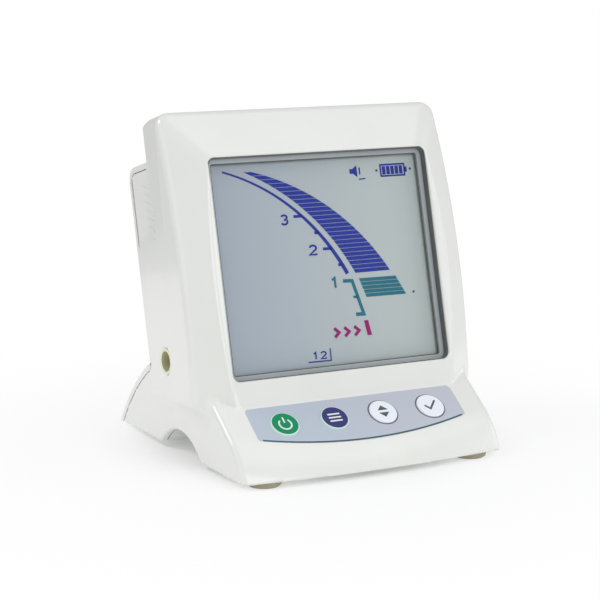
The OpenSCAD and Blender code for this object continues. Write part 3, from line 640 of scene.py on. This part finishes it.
def housing(p):
    d, v, e, up, out = tilted(p)
    x = p[..., 0]
    opening = np.maximum(rounded_box(x, v, SCREEN_HALF_W, SCREEN_HALF_H, SCREEN_CORNER), d - OPENING_DEPTH)
    f = np.maximum(both(outer(p), -opening, OPENING_EDGE), -room(p))
    for k in range(KEYS):
        hole = np.hypot(x - key_x(k), up) - KEY_HOLE_R
        f = np.maximum(f, -np.maximum(hole, np.abs(out) - KEY_HOLE_REACH))
    jack = np.hypot(p[..., 1] - JACK_Y, p[..., 2] - JACK_Z) - JACK_HOLE_R
    f = np.maximum(f, -np.maximum(jack, x - JACK_HOLE_X))
    inset = COVER_T + SEAM
    behind = both(d - BODY_DEPTH + inset, v - REAR_TOP + inset, REAR_CORNER - inset)
    behind = np.where(d > HOOD_DEPTH, behind, d - BODY_DEPTH + inset)
    return np.maximum(f, np.minimum(behind, tail(p) + inset))


print("key centres", [key_x(k) for k in range(KEYS)])

# %% [markdown]
# The housing's skin is found on a grid. Each grid cell that the skin crosses gets one point,
# and the four cells round a crossed grid line share a face.
# A remesh modifier could do this too, but its grid stands upright and cuts slanted edges into steps.
# This grid leans with the screen and is finer where the edges are.

# %% Skin on a grid
AXES = np.eye(3, dtype=int)
ROUND_A_LINE = ((1, 1), (0, 1), (0, 0), (1, 0))


def graded(start, *runs):
    """A line of grid marks from a start and pairs of end and spacing."""
    line = [start]
    for end, spacing in runs:
        n = max(1, round((end - line[-1]) / spacing))
        line += list(np.linspace(line[-1], end, n + 1)[1:])
    return np.array(line)


def skin(distance, marks):
    """Points and faces of a skin, from its distance and the grid's marks."""
    grid = np.stack(np.meshgrid(*marks, indexing="ij"), -1)
    f = distance(leaning(*np.moveaxis(grid, -1, 0)))
    cells = np.array(f.shape) - 1
    total, count, faces = np.zeros((*cells, 3)), np.zeros(cells), []
    for axis, ahead in enumerate(AXES):
        start = np.argwhere(np.diff(f < 0, axis=axis))
        low, high = tuple(start.T), tuple((start + ahead).T)
        t = f[low] / (f[low] - f[high])
        spots = grid[low] + t[:, None] * (grid[high] - grid[low])
        one, two = np.delete(AXES, axis, axis=0)
        around = np.stack([start - a * one - b * two for a, b in ROUND_A_LINE], 1)
        for corner in range(4):
            cell = tuple(around[:, corner].T)
            np.add.at(total, cell, spots)
            np.add.at(count, cell, 1)
        forward = (f[low] < 0) == (axis != 1)
        faces.append(np.where(forward[:, None, None], around, around[:, ::-1]))
    used = count > 0
    index = np.full(used.shape, -1)
    index[used] = np.arange(used.sum())
    local = total[used] / count[used][:, None]
    return leaning(*local.T), index[tuple(np.moveaxis(np.concatenate(faces), -1, 0))]


half_marks = graded(0, (37.6, 1.3), (44.0, 0.4), (50.4, 0.8), (53.0, 0.4))
x_marks = np.concatenate([-half_marks[:0:-1], half_marks])
d_marks = graded(-17.0, (-4.0, 1.0), (6.0, 0.5), (28.0, 0.9), (52.0, 1.0), (80.0, 1.2))
v_marks = graded(-75.0, (-46.0, 0.8), (-37.6, 0.7), (-34.4, 0.4), (33.4, 1.2), (37.6, 0.4), (55.0, 0.7))
skin_points, skin_faces = skin(housing, (x_marks, d_marks, v_marks))
print("grid marks", len(x_marks), len(d_marks), len(v_marks))

# %% [markdown]
# A point of a cell lies near the skin. Two steps along the distance's slope bring it onto the skin.
# The same slope gives the normals for the shading, so that soft edges look round without a much finer grid.

# %% The housing's skin
SLOPE_STEP, STEP_LIMIT = 0.06, 0.35


def normals_of(distance, points):
    """The direction in which the distance grows fastest."""
    g = np.stack([distance(points + s) - distance(points - s) for s in np.eye(3) * SLOPE_STEP], -1)
    return g / np.maximum(np.linalg.norm(g, axis=-1, keepdims=True), 1e-9)


for turn in range(2):
    step = np.clip(housing(skin_points), -STEP_LIMIT, STEP_LIMIT)
    skin_points = skin_points - normals_of(housing, skin_points) * step[:, None]
shell = piece("housing_shell", skin_points, skin_faces, "body", smooth=True,
              normals=normals_of(housing, skin_points))
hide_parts("main_housing")
print("housing skin", len(skin_points), "points", len(skin_faces), "faces")

# %% [markdown]
# The rear cover is a bent plate: over the upper back corner, down the lean and out over the rear foot.
# A solidified surface could make it, but its side rims need a soft edge of their own.
# So sections of the plate and of a rim on each side are swept along each bend in fine steps.

# %% Bent plates
TAIL_Y = round(CAD_BOUNDS[1][1] / MM, 2)
NOTCH, COVER_RIM, RIM_SOFT = -25.8, 1.2, 0.6
CORNER_STEPS, TAIL_TURN, TAIL_STEPS = 24, math.radians(28), 60


def bow(start, end, turn, n):
    """Points of an arc in the YZ plane that turns clockwise by that angle on its way."""
    chord = end - start
    r = np.hypot(*chord) / (2 * math.sin(turn / 2))
    first = math.atan2(chord[1], chord[0]) + turn / 2
    a = first - np.linspace(0, turn, n + 1)[:, None]
    return start + r * np.concatenate([math.sin(first) - np.sin(a), np.cos(a) - math.cos(first)], 1)


def in_side(d, v):
    """A point of the leaning frame as its y and z."""
    return leaning(0.0, d, v)[1:]


def outward(points, faces):
    """The same closed form, with its faces turned outward."""
    volume = 0.0
    for face in faces:
        for second, third in zip(face[1:], face[2:]):
            volume += points[face[0]] @ np.cross(points[second], points[third])
    return points, faces if volume > 0 else [face[::-1] for face in faces]


def bent(path, section):
    """A closed section of x and depth under the path, swept along it and kept over the foot line."""
    way = np.gradient(path, axis=0)
    way /= np.linalg.norm(way, axis=1, keepdims=True)
    inward = np.stack([way[:, 1], -way[:, 0]], -1)
    x, depth = np.array(section).T
    rings = []
    for at, inner in zip(path, inward):
        y, z = (at + inner * depth[:, None]).T
        rings.append(np.column_stack([x, y, np.maximum(z, LIFT)]))
    return outward(*strips(rings, capped=True))


bend_top = REAR_TOP - REAR_CORNER
corner_bend = bow(in_side(BODY_DEPTH - REAR_CORNER, REAR_TOP), in_side(BODY_DEPTH, bend_top),
                  math.radians(90), CORNER_STEPS)
shoulder = np.concatenate([[in_side(HOOD_DEPTH + SEAM, REAR_TOP)], corner_bend])
foot_bend = bow(in_side(BODY_DEPTH, NOTCH), np.array([TAIL_Y, LIFT]), TAIL_TURN, TAIL_STEPS)
print("points of the bends", len(shoulder), len(foot_bend))

# %% [markdown]
# The flat of the rear cover has the opening of the battery bay and four screw holes.
# They could be cut with booleans, but a slab with holes has them from the start.

# %% Rear cover
DOOR_W, DOOR_H, DOOR_R, BAY_MID = 64.0, 59.7, 2.0, 4.6
SCREW_X, SCREW_V, SCREW_R = 43.4, (-18.0, 30.0), 2.67
RIM_CUT = 0.3 * RIM_SOFT


def on_back(x, v, out):
    return leaning(x, BODY_DEPTH - COVER_T + out, v)


flat_half = REAR_HALF - COVER_RIM
plate = [(-flat_half, COVER_T), (flat_half, COVER_T), (flat_half, 0.0), (-flat_half, 0.0)]
right_rim = [(flat_half, COVER_T), (REAR_HALF, COVER_T), (REAR_HALF, RIM_SOFT),
             (REAR_HALF - RIM_CUT, RIM_CUT), (REAR_HALF - RIM_SOFT, 0.0), (flat_half, 0.0)]
left_rim = [(-x, depth) for x, depth in right_rim[::-1]]
flat_path = np.array([in_side(BODY_DEPTH, v) for v in (bend_top, NOTCH)])
flat_loops = [[(-flat_half, NOTCH), (flat_half, NOTCH), (flat_half, bend_top), (-flat_half, bend_top)],
              outline(DOOR_W / 2, DOOR_H / 2, DOOR_R) + (0, BAY_MID)]
flat_loops += [ring(x, v, SCREW_R, 36) for x in (-SCREW_X, SCREW_X) for v in SCREW_V]
parts = [bent(path, section) for path in (shoulder, foot_bend) for section in (plate, right_rim, left_rim)]
parts += [bent(flat_path, section) for section in (right_rim, left_rim)]
cover = joined(parts + [slab(flat_loops, 0.0, COVER_T, on_back)])
cover_shell = piece("cover_shell", *cover, "body")
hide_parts("rear_cover")
print("rear cover", len(cover[1]), "faces")

# %% [markdown]
# Low ridges stand on the left side of the body, each a short round-ended bar that slants down to the front.
# A bump texture could suggest them, but a raised slab catches the light at its own edge.

# %% Side ridges
RIDGES, RIDGE_LENGTH, RIDGE_WIDTH, RIDGE_TILT = 7, 8.2, 0.9, 0.33
RIDGE_V, RIDGE_PITCH, RIDGE_D, RIDGE_SHIFT = 31.4, 2.7, 34.8, 0.42
RIDGE_FOOT, RIDGE_TOP = -0.3, 0.1


def on_side(v, d, out):
    e = tilted(leaning(np.zeros_like(d), d, v))[2]
    return leaning(-np.maximum(side_half(d, v, e), REAR_HALF) - out, d, v)


def ridge(k):
    """The loop of ridge k, in height and depth."""
    middle = np.array([RIDGE_V - RIDGE_PITCH * k, RIDGE_D - RIDGE_SHIFT * k])
    reach = np.array([RIDGE_TILT, 1.0]) / math.hypot(RIDGE_TILT, 1.0) * RIDGE_LENGTH / 2
    turn = math.degrees(math.atan2(1.0, RIDGE_TILT))
    return np.concatenate([arc(*(middle + reach), RIDGE_WIDTH / 2, turn - 90, turn + 90, 7),
                           arc(*(middle - reach), RIDGE_WIDTH / 2, turn + 90, turn + 270, 7)])


ridges = slabs([ridge(k) for k in range(RIDGES)], RIDGE_FOOT, RIDGE_TOP, on_side)
piece("side_ridges", *ridges, "body")
print("side ridges", len(ridges[1]), "faces")

# %% [markdown]
# Inside the opening a dark grey wall runs down to a paler ledge, and a thin grey edge borders the display.
# This dark grey, which the edge shares, is partly the frame's own colour and partly painted shade of the
# recess.
# The CAD has one frame. It is split here, so that each part keeps one finish.
# A curve with a bevel profile could make such rings. Offsets from the opening's edge are easier to measure.
# The window behind them is a plain rounded slab, because its edges are hidden.

# %% Display frame and window
CORNER_LEAST, WINDOW_BACK, WINDOW_T = 0.7, 4.75, 0.6
WINDOW = outline(42.0, 37.7, 2.0)
LEDGE = [(1.8, 3.9), (1.8, 3.06), (0.0, 3.0), (-1.45, 3.06), (-1.7, 3.2), (-1.7, 3.9)]
WALL = [(0.02, 0.5), (-0.2, 0.6), (-0.3, 0.9), (-0.3, 2.95), (0.02, 2.95)]
EDGE = [(-1.72, 3.35), (-2.05, 3.45), (-2.1, 4.1), (-1.72, 4.1)]


def framed(profile):
    """A closed ring from pairs of offset out of the opening's edge and depth."""
    rings = []
    for off, d in profile + profile[:1]:
        corner_r = max(SCREEN_CORNER + off, CORNER_LEAST)
        loop = outline(SCREEN_HALF_W + off, SCREEN_HALF_H + off, corner_r)
        rings.append(leaning(loop[:, 0], np.full(len(loop), d), loop[:, 1]))
    return strips(rings[::-1])


def on_window(x, v, out):
    return leaning(x, WINDOW_BACK - out, v)


ledge = piece("frame_ledge", *framed(LEDGE), "ledge")
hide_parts("display_frame")
# The wall and the edge take the dark grey that is partly painted shade of the recess.
piece("frame_wall", *framed(WALL), "wall")
piece("frame_edge", *framed(EDGE), "wall")
lens = piece("display_window", *slab([WINDOW], 0.0, WINDOW_T, on_window), "clear")
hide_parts("display_lens")
print("frame ledge", len(ledge.data.polygons), "faces")

# %% [markdown]
# The display's segments lie on its glass: a curved scale and a band of bars from the top left to the middle.
# They could be painted on an image, but thin slabs stay sharp and need no picture file.
# An edge of the band is the circle through three points, so a bar's ends follow from its height.

# %% Band and scale
BARS, BAND_LOW, BAND_HIGH, BAR_FILL, SCALE_OVER, TICK_OVER = 25, -4.4, 31.4, 0.89, 0.3, 0.1
SCALE_STEPS, SCALE_THIN, SCALE_THICK, TICK_W = 40, 0.6, 1.4, 0.95
TICKS = ((15.75, 3.2), (9.9, 1.6), (4.4, 3.2), (-1.25, 1.6))


def circle(*points):
    """Centre and radius of the circle through three points."""
    a, b, c = (np.asarray(q, float) for q in points)
    centre = np.linalg.solve(2 * np.array([b - a, c - a]), np.array([b @ b - a @ a, c @ c - a @ a]))
    return centre[0], centre[1], np.hypot(*(a - centre))


def across(edge, v):
    """The x of an edge circle at a height."""
    cx, cy, r = edge
    return cx + math.sqrt(r * r - (v - cy) ** 2)


BAND_LEFT = circle((-26.8, 31.6), (-1.9, 14.1), (10.8, -4.3))
BAND_RIGHT = circle((-23.6, 31.3), (6.6, 15.9), (24.1, -4.5))
SCALE = circle((-33.6, 31.7), (-5.6, 14.7), (7.8, -4.4))


def bar(k):
    pitch = (BAND_HIGH - BAND_LOW) / BARS
    low = BAND_LOW + k * pitch
    high = low + pitch * BAR_FILL
    return [(across(BAND_LEFT, low), low), (across(BAND_RIGHT, low), low),
            (across(BAND_RIGHT, high), high), (across(BAND_LEFT, high), high)]


def tick(v, width):
    x = across(SCALE, v) + TICK_OVER
    return stroke([(x - width, v), (x, v)], TICK_W)


heights = np.linspace(BAND_HIGH + SCALE_OVER, BAND_LOW, SCALE_STEPS)
scale_pen = np.linspace(SCALE_THIN, SCALE_THICK, SCALE_STEPS)
scale_line = stroke([(across(SCALE, v), v) for v in heights], scale_pen)
band = [bar(k) for k in range(BARS)] + [scale_line] + [tick(v, width) for v, width in TICKS]
print("band", len(band), "loops")

# %% [markdown]
# Plain numbers, a sounder sign, a battery sign and a small bracket stand beside the band.
# Text objects could make the numbers, but a pen stroke needs no font and keeps one line width.

# %% Blue segments
GLASS_DEPTH, SEGMENT_FOOT, SEGMENT_TOP = 5.0, 0.03, 0.1
DIGIT_FIELD, DIGIT_STRETCH, DIGIT_PEN = 4.0, 1.4, 0.22
CELLS, CELL_FROM, CELL_PITCH, CELL_W = 5, 25.6, 1.65, 1.3
FIGURES = {
    1: [(-0.8, 1.2), (0.15, 2.0), (0.15, -2.0)],
    2: np.concatenate([arc(0, 0.85, 1.15, 165, -35), [(-1.25, -2.0), (1.35, -2.0)]]),
    3: np.concatenate([arc(0, 1.0, 1.0, 155, -70), arc(0, -0.9, 1.1, 70, -155)]),
}


def digit(n, x, v, height):
    """The loop of a plain figure, drawn with one pen stroke."""
    scale = height / DIGIT_FIELD
    return stroke(np.array(FIGURES[n]) * (scale * DIGIT_STRETCH, scale) + (x, v), height * DIGIT_PEN)


def on_glass(x, v, out):
    return leaning(x, GLASS_DEPTH - out, v)


def segments(name, loops, mat):
    piece(name, *slabs(loops, SEGMENT_FOOT, SEGMENT_TOP, on_glass), mat)
    print(name, len(loops), "loops")


battery = [stroke([(25.0, 27.2), (34.2, 27.2), (34.2, 31.0), (25.0, 31.0), (25.0, 27.0)], 0.55),
           [(34.3, 28.2), (35.2, 28.2), (35.2, 30.0), (34.3, 30.0)]]
for left in (CELL_FROM + CELL_PITCH * k for k in range(CELLS)):
    battery.append([(left, 27.7), (left + CELL_W, 27.7), (left + CELL_W, 30.5), (left, 30.5)])
sounder = [[(13.1, 28.6), (14.3, 28.6), (15.9, 27.4), (15.9, 31.4), (14.3, 30.2), (13.1, 30.2)],
           stroke([(16.9, 28.2), (16.9, 30.6)], 0.5), stroke([(16.4, 26.6), (18.9, 26.8)], 0.4)]
small_bracket = [stroke([(-10.5, -32.2), (-2.0, -32.3), (-2.0, -28.3)], 0.4),
                 digit(1, -7.6, -30.3, 2.2), digit(2, -4.6, -30.3, 2.2)]
scale_figures = [digit(3, -13.3, 14.9, 3.0), digit(2, -4.0, 4.3, 3.0)]
segments("blue_segments", band + battery + sounder + small_bracket + scale_figures, "blue")

# %% [markdown]
# Below the band stand five short teal bars with a bracket, a magenta marker with chevrons and a few dots.
# They could be drawn point by point, but the short bars lie between two slanted lines,
# so a share of each line's length places a bar's corners.

# %% Teal, magenta and grey segments
SHORT_BARS, SHORT_FILL = 5, 0.88
SHORT_LEFT, SHORT_RIGHT = ((11.9, -6.3), (14.0, -12.7)), ((25.9, -6.5), (29.2, -12.9))


def along(line, share):
    """The point of a line at a share of its length."""
    start, end = np.array(line)
    return start + (end - start) * share


def short_bar(k):
    whole = SHORT_BARS - 1 + SHORT_FILL
    first, last = k / whole, (k + SHORT_FILL) / whole
    return [along(SHORT_LEFT, first), along(SHORT_RIGHT, first),
            along(SHORT_RIGHT, last), along(SHORT_LEFT, last)]


bracket = [stroke([(5.8, -6.7), (9.2, -6.9), (10.7, -12.5), (12.2, -18.2), (9.2, -18.1)], 1.15),
           stroke([(9.0, -12.3), (10.8, -12.4)], 0.8), digit(1, 2.6, -7.1, 3.3)]
marker = [[(11.9, -20.4), (13.5, -20.4), (14.3, -25.4), (12.7, -25.4)]]
chevrons = [stroke([(x, -22.0), (x + 1.7, -23.5), (x, -25.0)], 1.05) for x in (0.4, 4.2, 8.0)]
dots = [ring(x, v, 0.45, 12) for x, v in ((23.4, 29.2), (36.5, 29.2), (32.2, -12.4))]
segments("teal_segments", [short_bar(k) for k in range(SHORT_BARS)] + bracket, "teal")
segments("magenta_segments", marker + chevrons, "magenta")
segments("small_segments", dots, "ink")

# %% [markdown]
# The key panel is a thin printed film on the slope, with a hole for each key.
# Its lower edge is an arc that follows the bowed nose, with a teal line along it.
# A flat slab with holes is enough, because the slope below it is flat.

# %% Key panel
PANEL_HALF, PANEL_TOP, PANEL_CORNER, PANEL_LOW_CORNER = 38.2, 8.4, 2.2, 0.9
ARC_MID, ARC_R, ARC_STEPS = 138.4, 148.4, 40
HOLE_R, PANEL_FOOT, PANEL_FACE = 4.95, -0.2, 0.06
LINE_OUT, LINE_IN, LINE_TURN, LINE_FOOT, LINE_TOP = 0.1, 0.5, 14.4, 0.02, 0.085
DOWN = 270


def panel_loop():
    half, r, low_r = PANEL_HALF, PANEL_CORNER, PANEL_LOW_CORNER
    reach = math.degrees(math.asin((half - low_r) / ARC_R))
    low = ARC_MID - math.sqrt(ARC_R ** 2 - (half - low_r) ** 2) + low_r
    lower_edge = arc(0, ARC_MID, ARC_R, DOWN - reach, DOWN + reach, ARC_STEPS)
    return np.concatenate([arc(half - r, PANEL_TOP - r, r, 0, 90, 8),
                           arc(r - half, PANEL_TOP - r, r, 90, 180, 8),
                           arc(low_r - half, low, low_r, 180, 255, 6), lower_edge[1:-1],
                           arc(half - low_r, low, low_r, 285, 360, 6)])


panel_loops = [panel_loop()] + [ring(key_x(k), 0, HOLE_R) for k in range(KEYS)]
panel = piece("panel_film", *slab(panel_loops, PANEL_FOOT, PANEL_FACE, sloping), "film")
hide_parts("key_panel")
line_from, line_to = DOWN - LINE_TURN, DOWN + LINE_TURN
teal_line = np.concatenate([arc(0, ARC_MID, ARC_R + LINE_OUT, line_from, line_to, ARC_STEPS),
                            arc(0, ARC_MID, ARC_R - LINE_IN, line_to, line_from, ARC_STEPS)])
piece("panel_edge_line", *slab([teal_line], LINE_FOOT, LINE_TOP, sloping), "teal_edge")
print("key panel", len(panel.data.polygons), "faces")

# %% [markdown]
# A printed ring surrounds each key hole, pale round the coloured keys and dark round the white ones.
# It could be part of the film's colour, but a thin slab keeps its edge sharp.

# %% Key rings
RING_IN, RING_FOOT, RING_TOP = 4.86, 0.02, 0.1
PALE_RING, DARK_RING = ("pale_ring", 5.0), ("dark_ring", 5.25)


def at_key(k):
    """A place function for the slope around key k."""
    def place(x, up, out):
        return sloping(x + key_x(k), up, out)
    return place


rings_of = {"power_key_ring": PALE_RING, "mode_key_ring": PALE_RING,
            "select_key_ring": DARK_RING, "set_key_ring": DARK_RING}
for k, (name, (mat, edge)) in enumerate(rings_of.items()):
    key_ring = slab([ring(0, 0, edge), ring(0, 0, RING_IN)], RING_FOOT, RING_TOP, at_key(k))
    piece(name, *key_ring, mat)
print("key rings", list(rings_of))

# %% [markdown]
# Each key is a turned cap with a flange under the panel, which keeps it in, and a soft upper edge.
# A bevelled cylinder could serve, but a turned profile gives the flange and the edge in one form.
# Each cap has a face and a plain printed sign on it: a power sign, three lines, two triangles and a tick.

# %% Keys
CAP_TOP, FACE_R = 0.6, 4.4
FACE_FOOT, FACE_TOP, SIGN_TOP = CAP_TOP - 0.1, CAP_TOP + 0.03, CAP_TOP + 0.06
CAP = [(0.05, -3.95), (5.9, -3.95), (6.0, -3.85), (6.0, -3.1), (5.9, -3.0), (4.8, -3.0), (4.8, 0.25),
       (4.76, 0.42), (4.64, 0.54), (4.4, CAP_TOP - 0.01), (3.0, CAP_TOP), (0.05, CAP_TOP)]
KEY_LOOKS = {"power_key": ("pale_ring", "green", "white_ink"), "mode_key": ("pale_ring", "navy", "white_ink"),
             "select_key": ("white", "white", "ink"), "set_key": ("white", "white", "ink")}
SIGNS = {
    "power_key": [stroke(arc(0, -0.2, 2.1, 130, 410, 40), 0.55), stroke([(0, 0.4), (0, 2.7)], 0.55)],
    "mode_key": [stroke([(-2.2, v), (2.2, v)], 0.6) for v in (-1.4, 0, 1.4)],
    "select_key": [[(-1.9, 0.5), (1.9, 0.5), (0, 2.5)], [(-1.9, -0.5), (0, -2.5), (1.9, -0.5)]],
    "set_key": [stroke([(-2.2, 0.2), (-0.7, -1.5), (2.3, 1.8)], 0.7)],
}
for k, (name, (cap_mat, face_mat, ink)) in enumerate(KEY_LOOKS.items()):
    cap = piece(name + "_cap", *lathe(CAP, at_key(k)), cap_mat, name, smooth=True)
    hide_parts(name)
    piece(name + "_face", *slabs([ring(0, 0, FACE_R)], FACE_FOOT, FACE_TOP, at_key(k)), face_mat, name)
    piece(name + "_sign", *slabs(SIGNS[name], CAP_TOP, SIGN_TOP, at_key(k)), ink, name)
print("keys", list(SIGNS))

# %% [markdown]
# The other CAD pieces keep their exact shape: the jack, the feet, the boards, the cells and the rest inside.
# Each could get its finish by hand. A table of names, and of words in names, is easier to check.

# %% Finishes of the CAD pieces
LOOK = {
    "main_housing": "body", "rear_cover": "body", "base_plate": "body", "battery_door": "body",
    "key_panel": "film", "power_key": "green", "mode_key": "navy", "select_key": "white", "set_key": "white",
    "display_frame": "ledge", "display_lens": "clear", "lcd_front_glass": "lcd", "lcd_rear_glass": "lcd",
    "lcd_reflector": "reflector", "upper_contact_strip": "strip", "lower_contact_strip": "strip",
    "key_board": "board", "main_board": "board", "capacitors": "cell", "jack_collar": "collar",
    "probe_jack": "jack", "jack_contacts": "brass", "battery_tray": "tray",
}
WORDS = {"foot": "rubber", "screw": "steel", "battery_cell": "cell", "cell_": "steel", "ribbon": "cream"}


def look_of(name):
    """A finish by a piece's name, else by a word in it, else dark plastic."""
    found = [look for word, look in WORDS.items() if word in name]
    return LOOK.get(name) or (found + ["dark"])[0]


for name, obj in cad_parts.items():
    obj.data.materials.clear()
    obj.data.materials.append(MAT[look_of(name)])
print("CAD pieces dressed", len(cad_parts))

# %% [markdown]
# The object stands on a round sheet of white paper. A plain sheet could serve, but it would look grey.
# So the paper glows more and more away from the object, from a soft shadow near the feet to white.

# %% Floor
FLOOR_R, FLOOR_SIDES = 0.35, 96
NEAR_FROM, NEAR_TO, NEAR_GLOW = 40.0, 76.0, 0.6
FAR_FROM, FAR_TO, FAR_GLOW, LEAST_GLOW = 60.0, 180.0, 0.23, 0.17


def floor_material():
    g = Graph("floor_paper")
    x, y = g.place()[:2]
    r = (x * x + y * y) ** 0.5
    glowing = r.step(NEAR_FROM, NEAR_TO) * NEAR_GLOW + r.step(FAR_FROM, FAR_TO) * FAR_GLOW + LEAST_GLOW
    fine = g.noise(300.0, 3.0)
    paper = g.node("ShaderNodeBsdfPrincipled", {}, {
        "Base Color": g.mix(fine, srgb(250, 250, 250), srgb(253, 253, 253)), "Roughness": fine * 0.1 + 0.75})
    glow = g.node("ShaderNodeEmission", {}, {"Color": (1, 1, 1, 1), "Strength": 1.0})
    return g.finish(g.node("ShaderNodeMixShader", {}, {0: glowing, 1: paper, 2: glow}))


floor_mesh = bpy.data.meshes.new("floor")
floor_edge = [(x, y, 0) for x, y in ring(0, 0, FLOOR_R, FLOOR_SIDES).tolist()]
floor_mesh.from_pydata(floor_edge, [], [tuple(range(FLOOR_SIDES))])
floor_mesh.materials.append(floor_material())
floor = bpy.data.objects.new("floor", floor_mesh)
bpy.context.scene.collection.objects.link(floor)
print("floor", 2 * FLOOR_R, "m wide")

# %% [markdown]
# Five soft discs light the object as in a small studio: from above, the front and each side,
# and from behind on the left, which draws the bright line along the base's edge.
# A picture of a room could light it too, but separate lights can be balanced one by one.
# The camera sees a white world, which gives the object a weaker, slightly cool light.

# %% Lights and world
LIGHT_AIM = Vector((0, 0, 0.05))
ROOM_COLOUR, ROOM_STRENGTH = (0.98, 0.99, 1.0, 1), 0.52


def aimed(name, data, place, way):
    """A light or a camera at a place, turned along a way."""
    obj = bpy.data.objects.new(name, data)
    obj.location = place
    obj.rotation_mode = "QUATERNION"
    obj.rotation_quaternion = way.to_track_quat("-Z", "Y")
    bpy.context.scene.collection.objects.link(obj)
    return obj


def soft_light(name, place, size, power):
    data = bpy.data.lights.new(name, "AREA")
    data.shape = "DISK"
    data.size = size
    data.energy = power
    aimed(name, data, place, LIGHT_AIM - Vector(place))


soft_light("key_light", (0.35, -0.35, 1.1), size=0.9, power=1.7)
soft_light("front_light", (0.02, -1.15, 0.5), size=0.8, power=3.5)
soft_light("left_light", (-1.2, -0.2, 0.4), size=0.8, power=0.9)
soft_light("right_light", (1.1, -0.4, 0.5), size=0.8, power=2.4)
soft_light("edge_light", (-0.75, 0.28, 0.85), size=0.46, power=3.0)
studio = Graph("studio", "worlds")
seen = studio.node("ShaderNodeLightPath", output="Is Camera Ray")
room_light = studio.node("ShaderNodeBackground", {}, {"Color": ROOM_COLOUR, "Strength": ROOM_STRENGTH})
white = studio.node("ShaderNodeBackground", {}, {"Color": (1, 1, 1, 1)})
mixed = studio.node("ShaderNodeMixShader", {}, {0: seen, 1: room_light, 2: white})
bpy.context.scene.world = studio.finish(mixed, "ShaderNodeOutputWorld")
bpy.context.scene.view_settings.view_transform = "Standard"
print("lights", [light.name for light in bpy.data.lights])

# %% [markdown]
# The camera stands where the photograph was taken from. It could be moved by eye until the outlines agree.
# A fit to the display's corners and the base is more exact, and it gave the angles, the distance and the aim.

# %% Camera
TURN, RISE, DISTANCE = math.radians(-27.94), math.radians(10.38), 0.6497
LENS, SENSOR = 116.05, 36.0
AIM = Vector((-0.00233, 0.00125, 0.04864))
back = Vector((math.sin(TURN) * math.cos(RISE), -math.cos(TURN) * math.cos(RISE), math.sin(RISE)))
camera_data = bpy.data.cameras.new("camera")
camera_data.sensor_width = SENSOR
camera_data.lens = LENS
camera = aimed("camera", camera_data, AIM + back * DISTANCE, -back)
bpy.context.scene.camera = camera
print("camera at", list(camera.location))
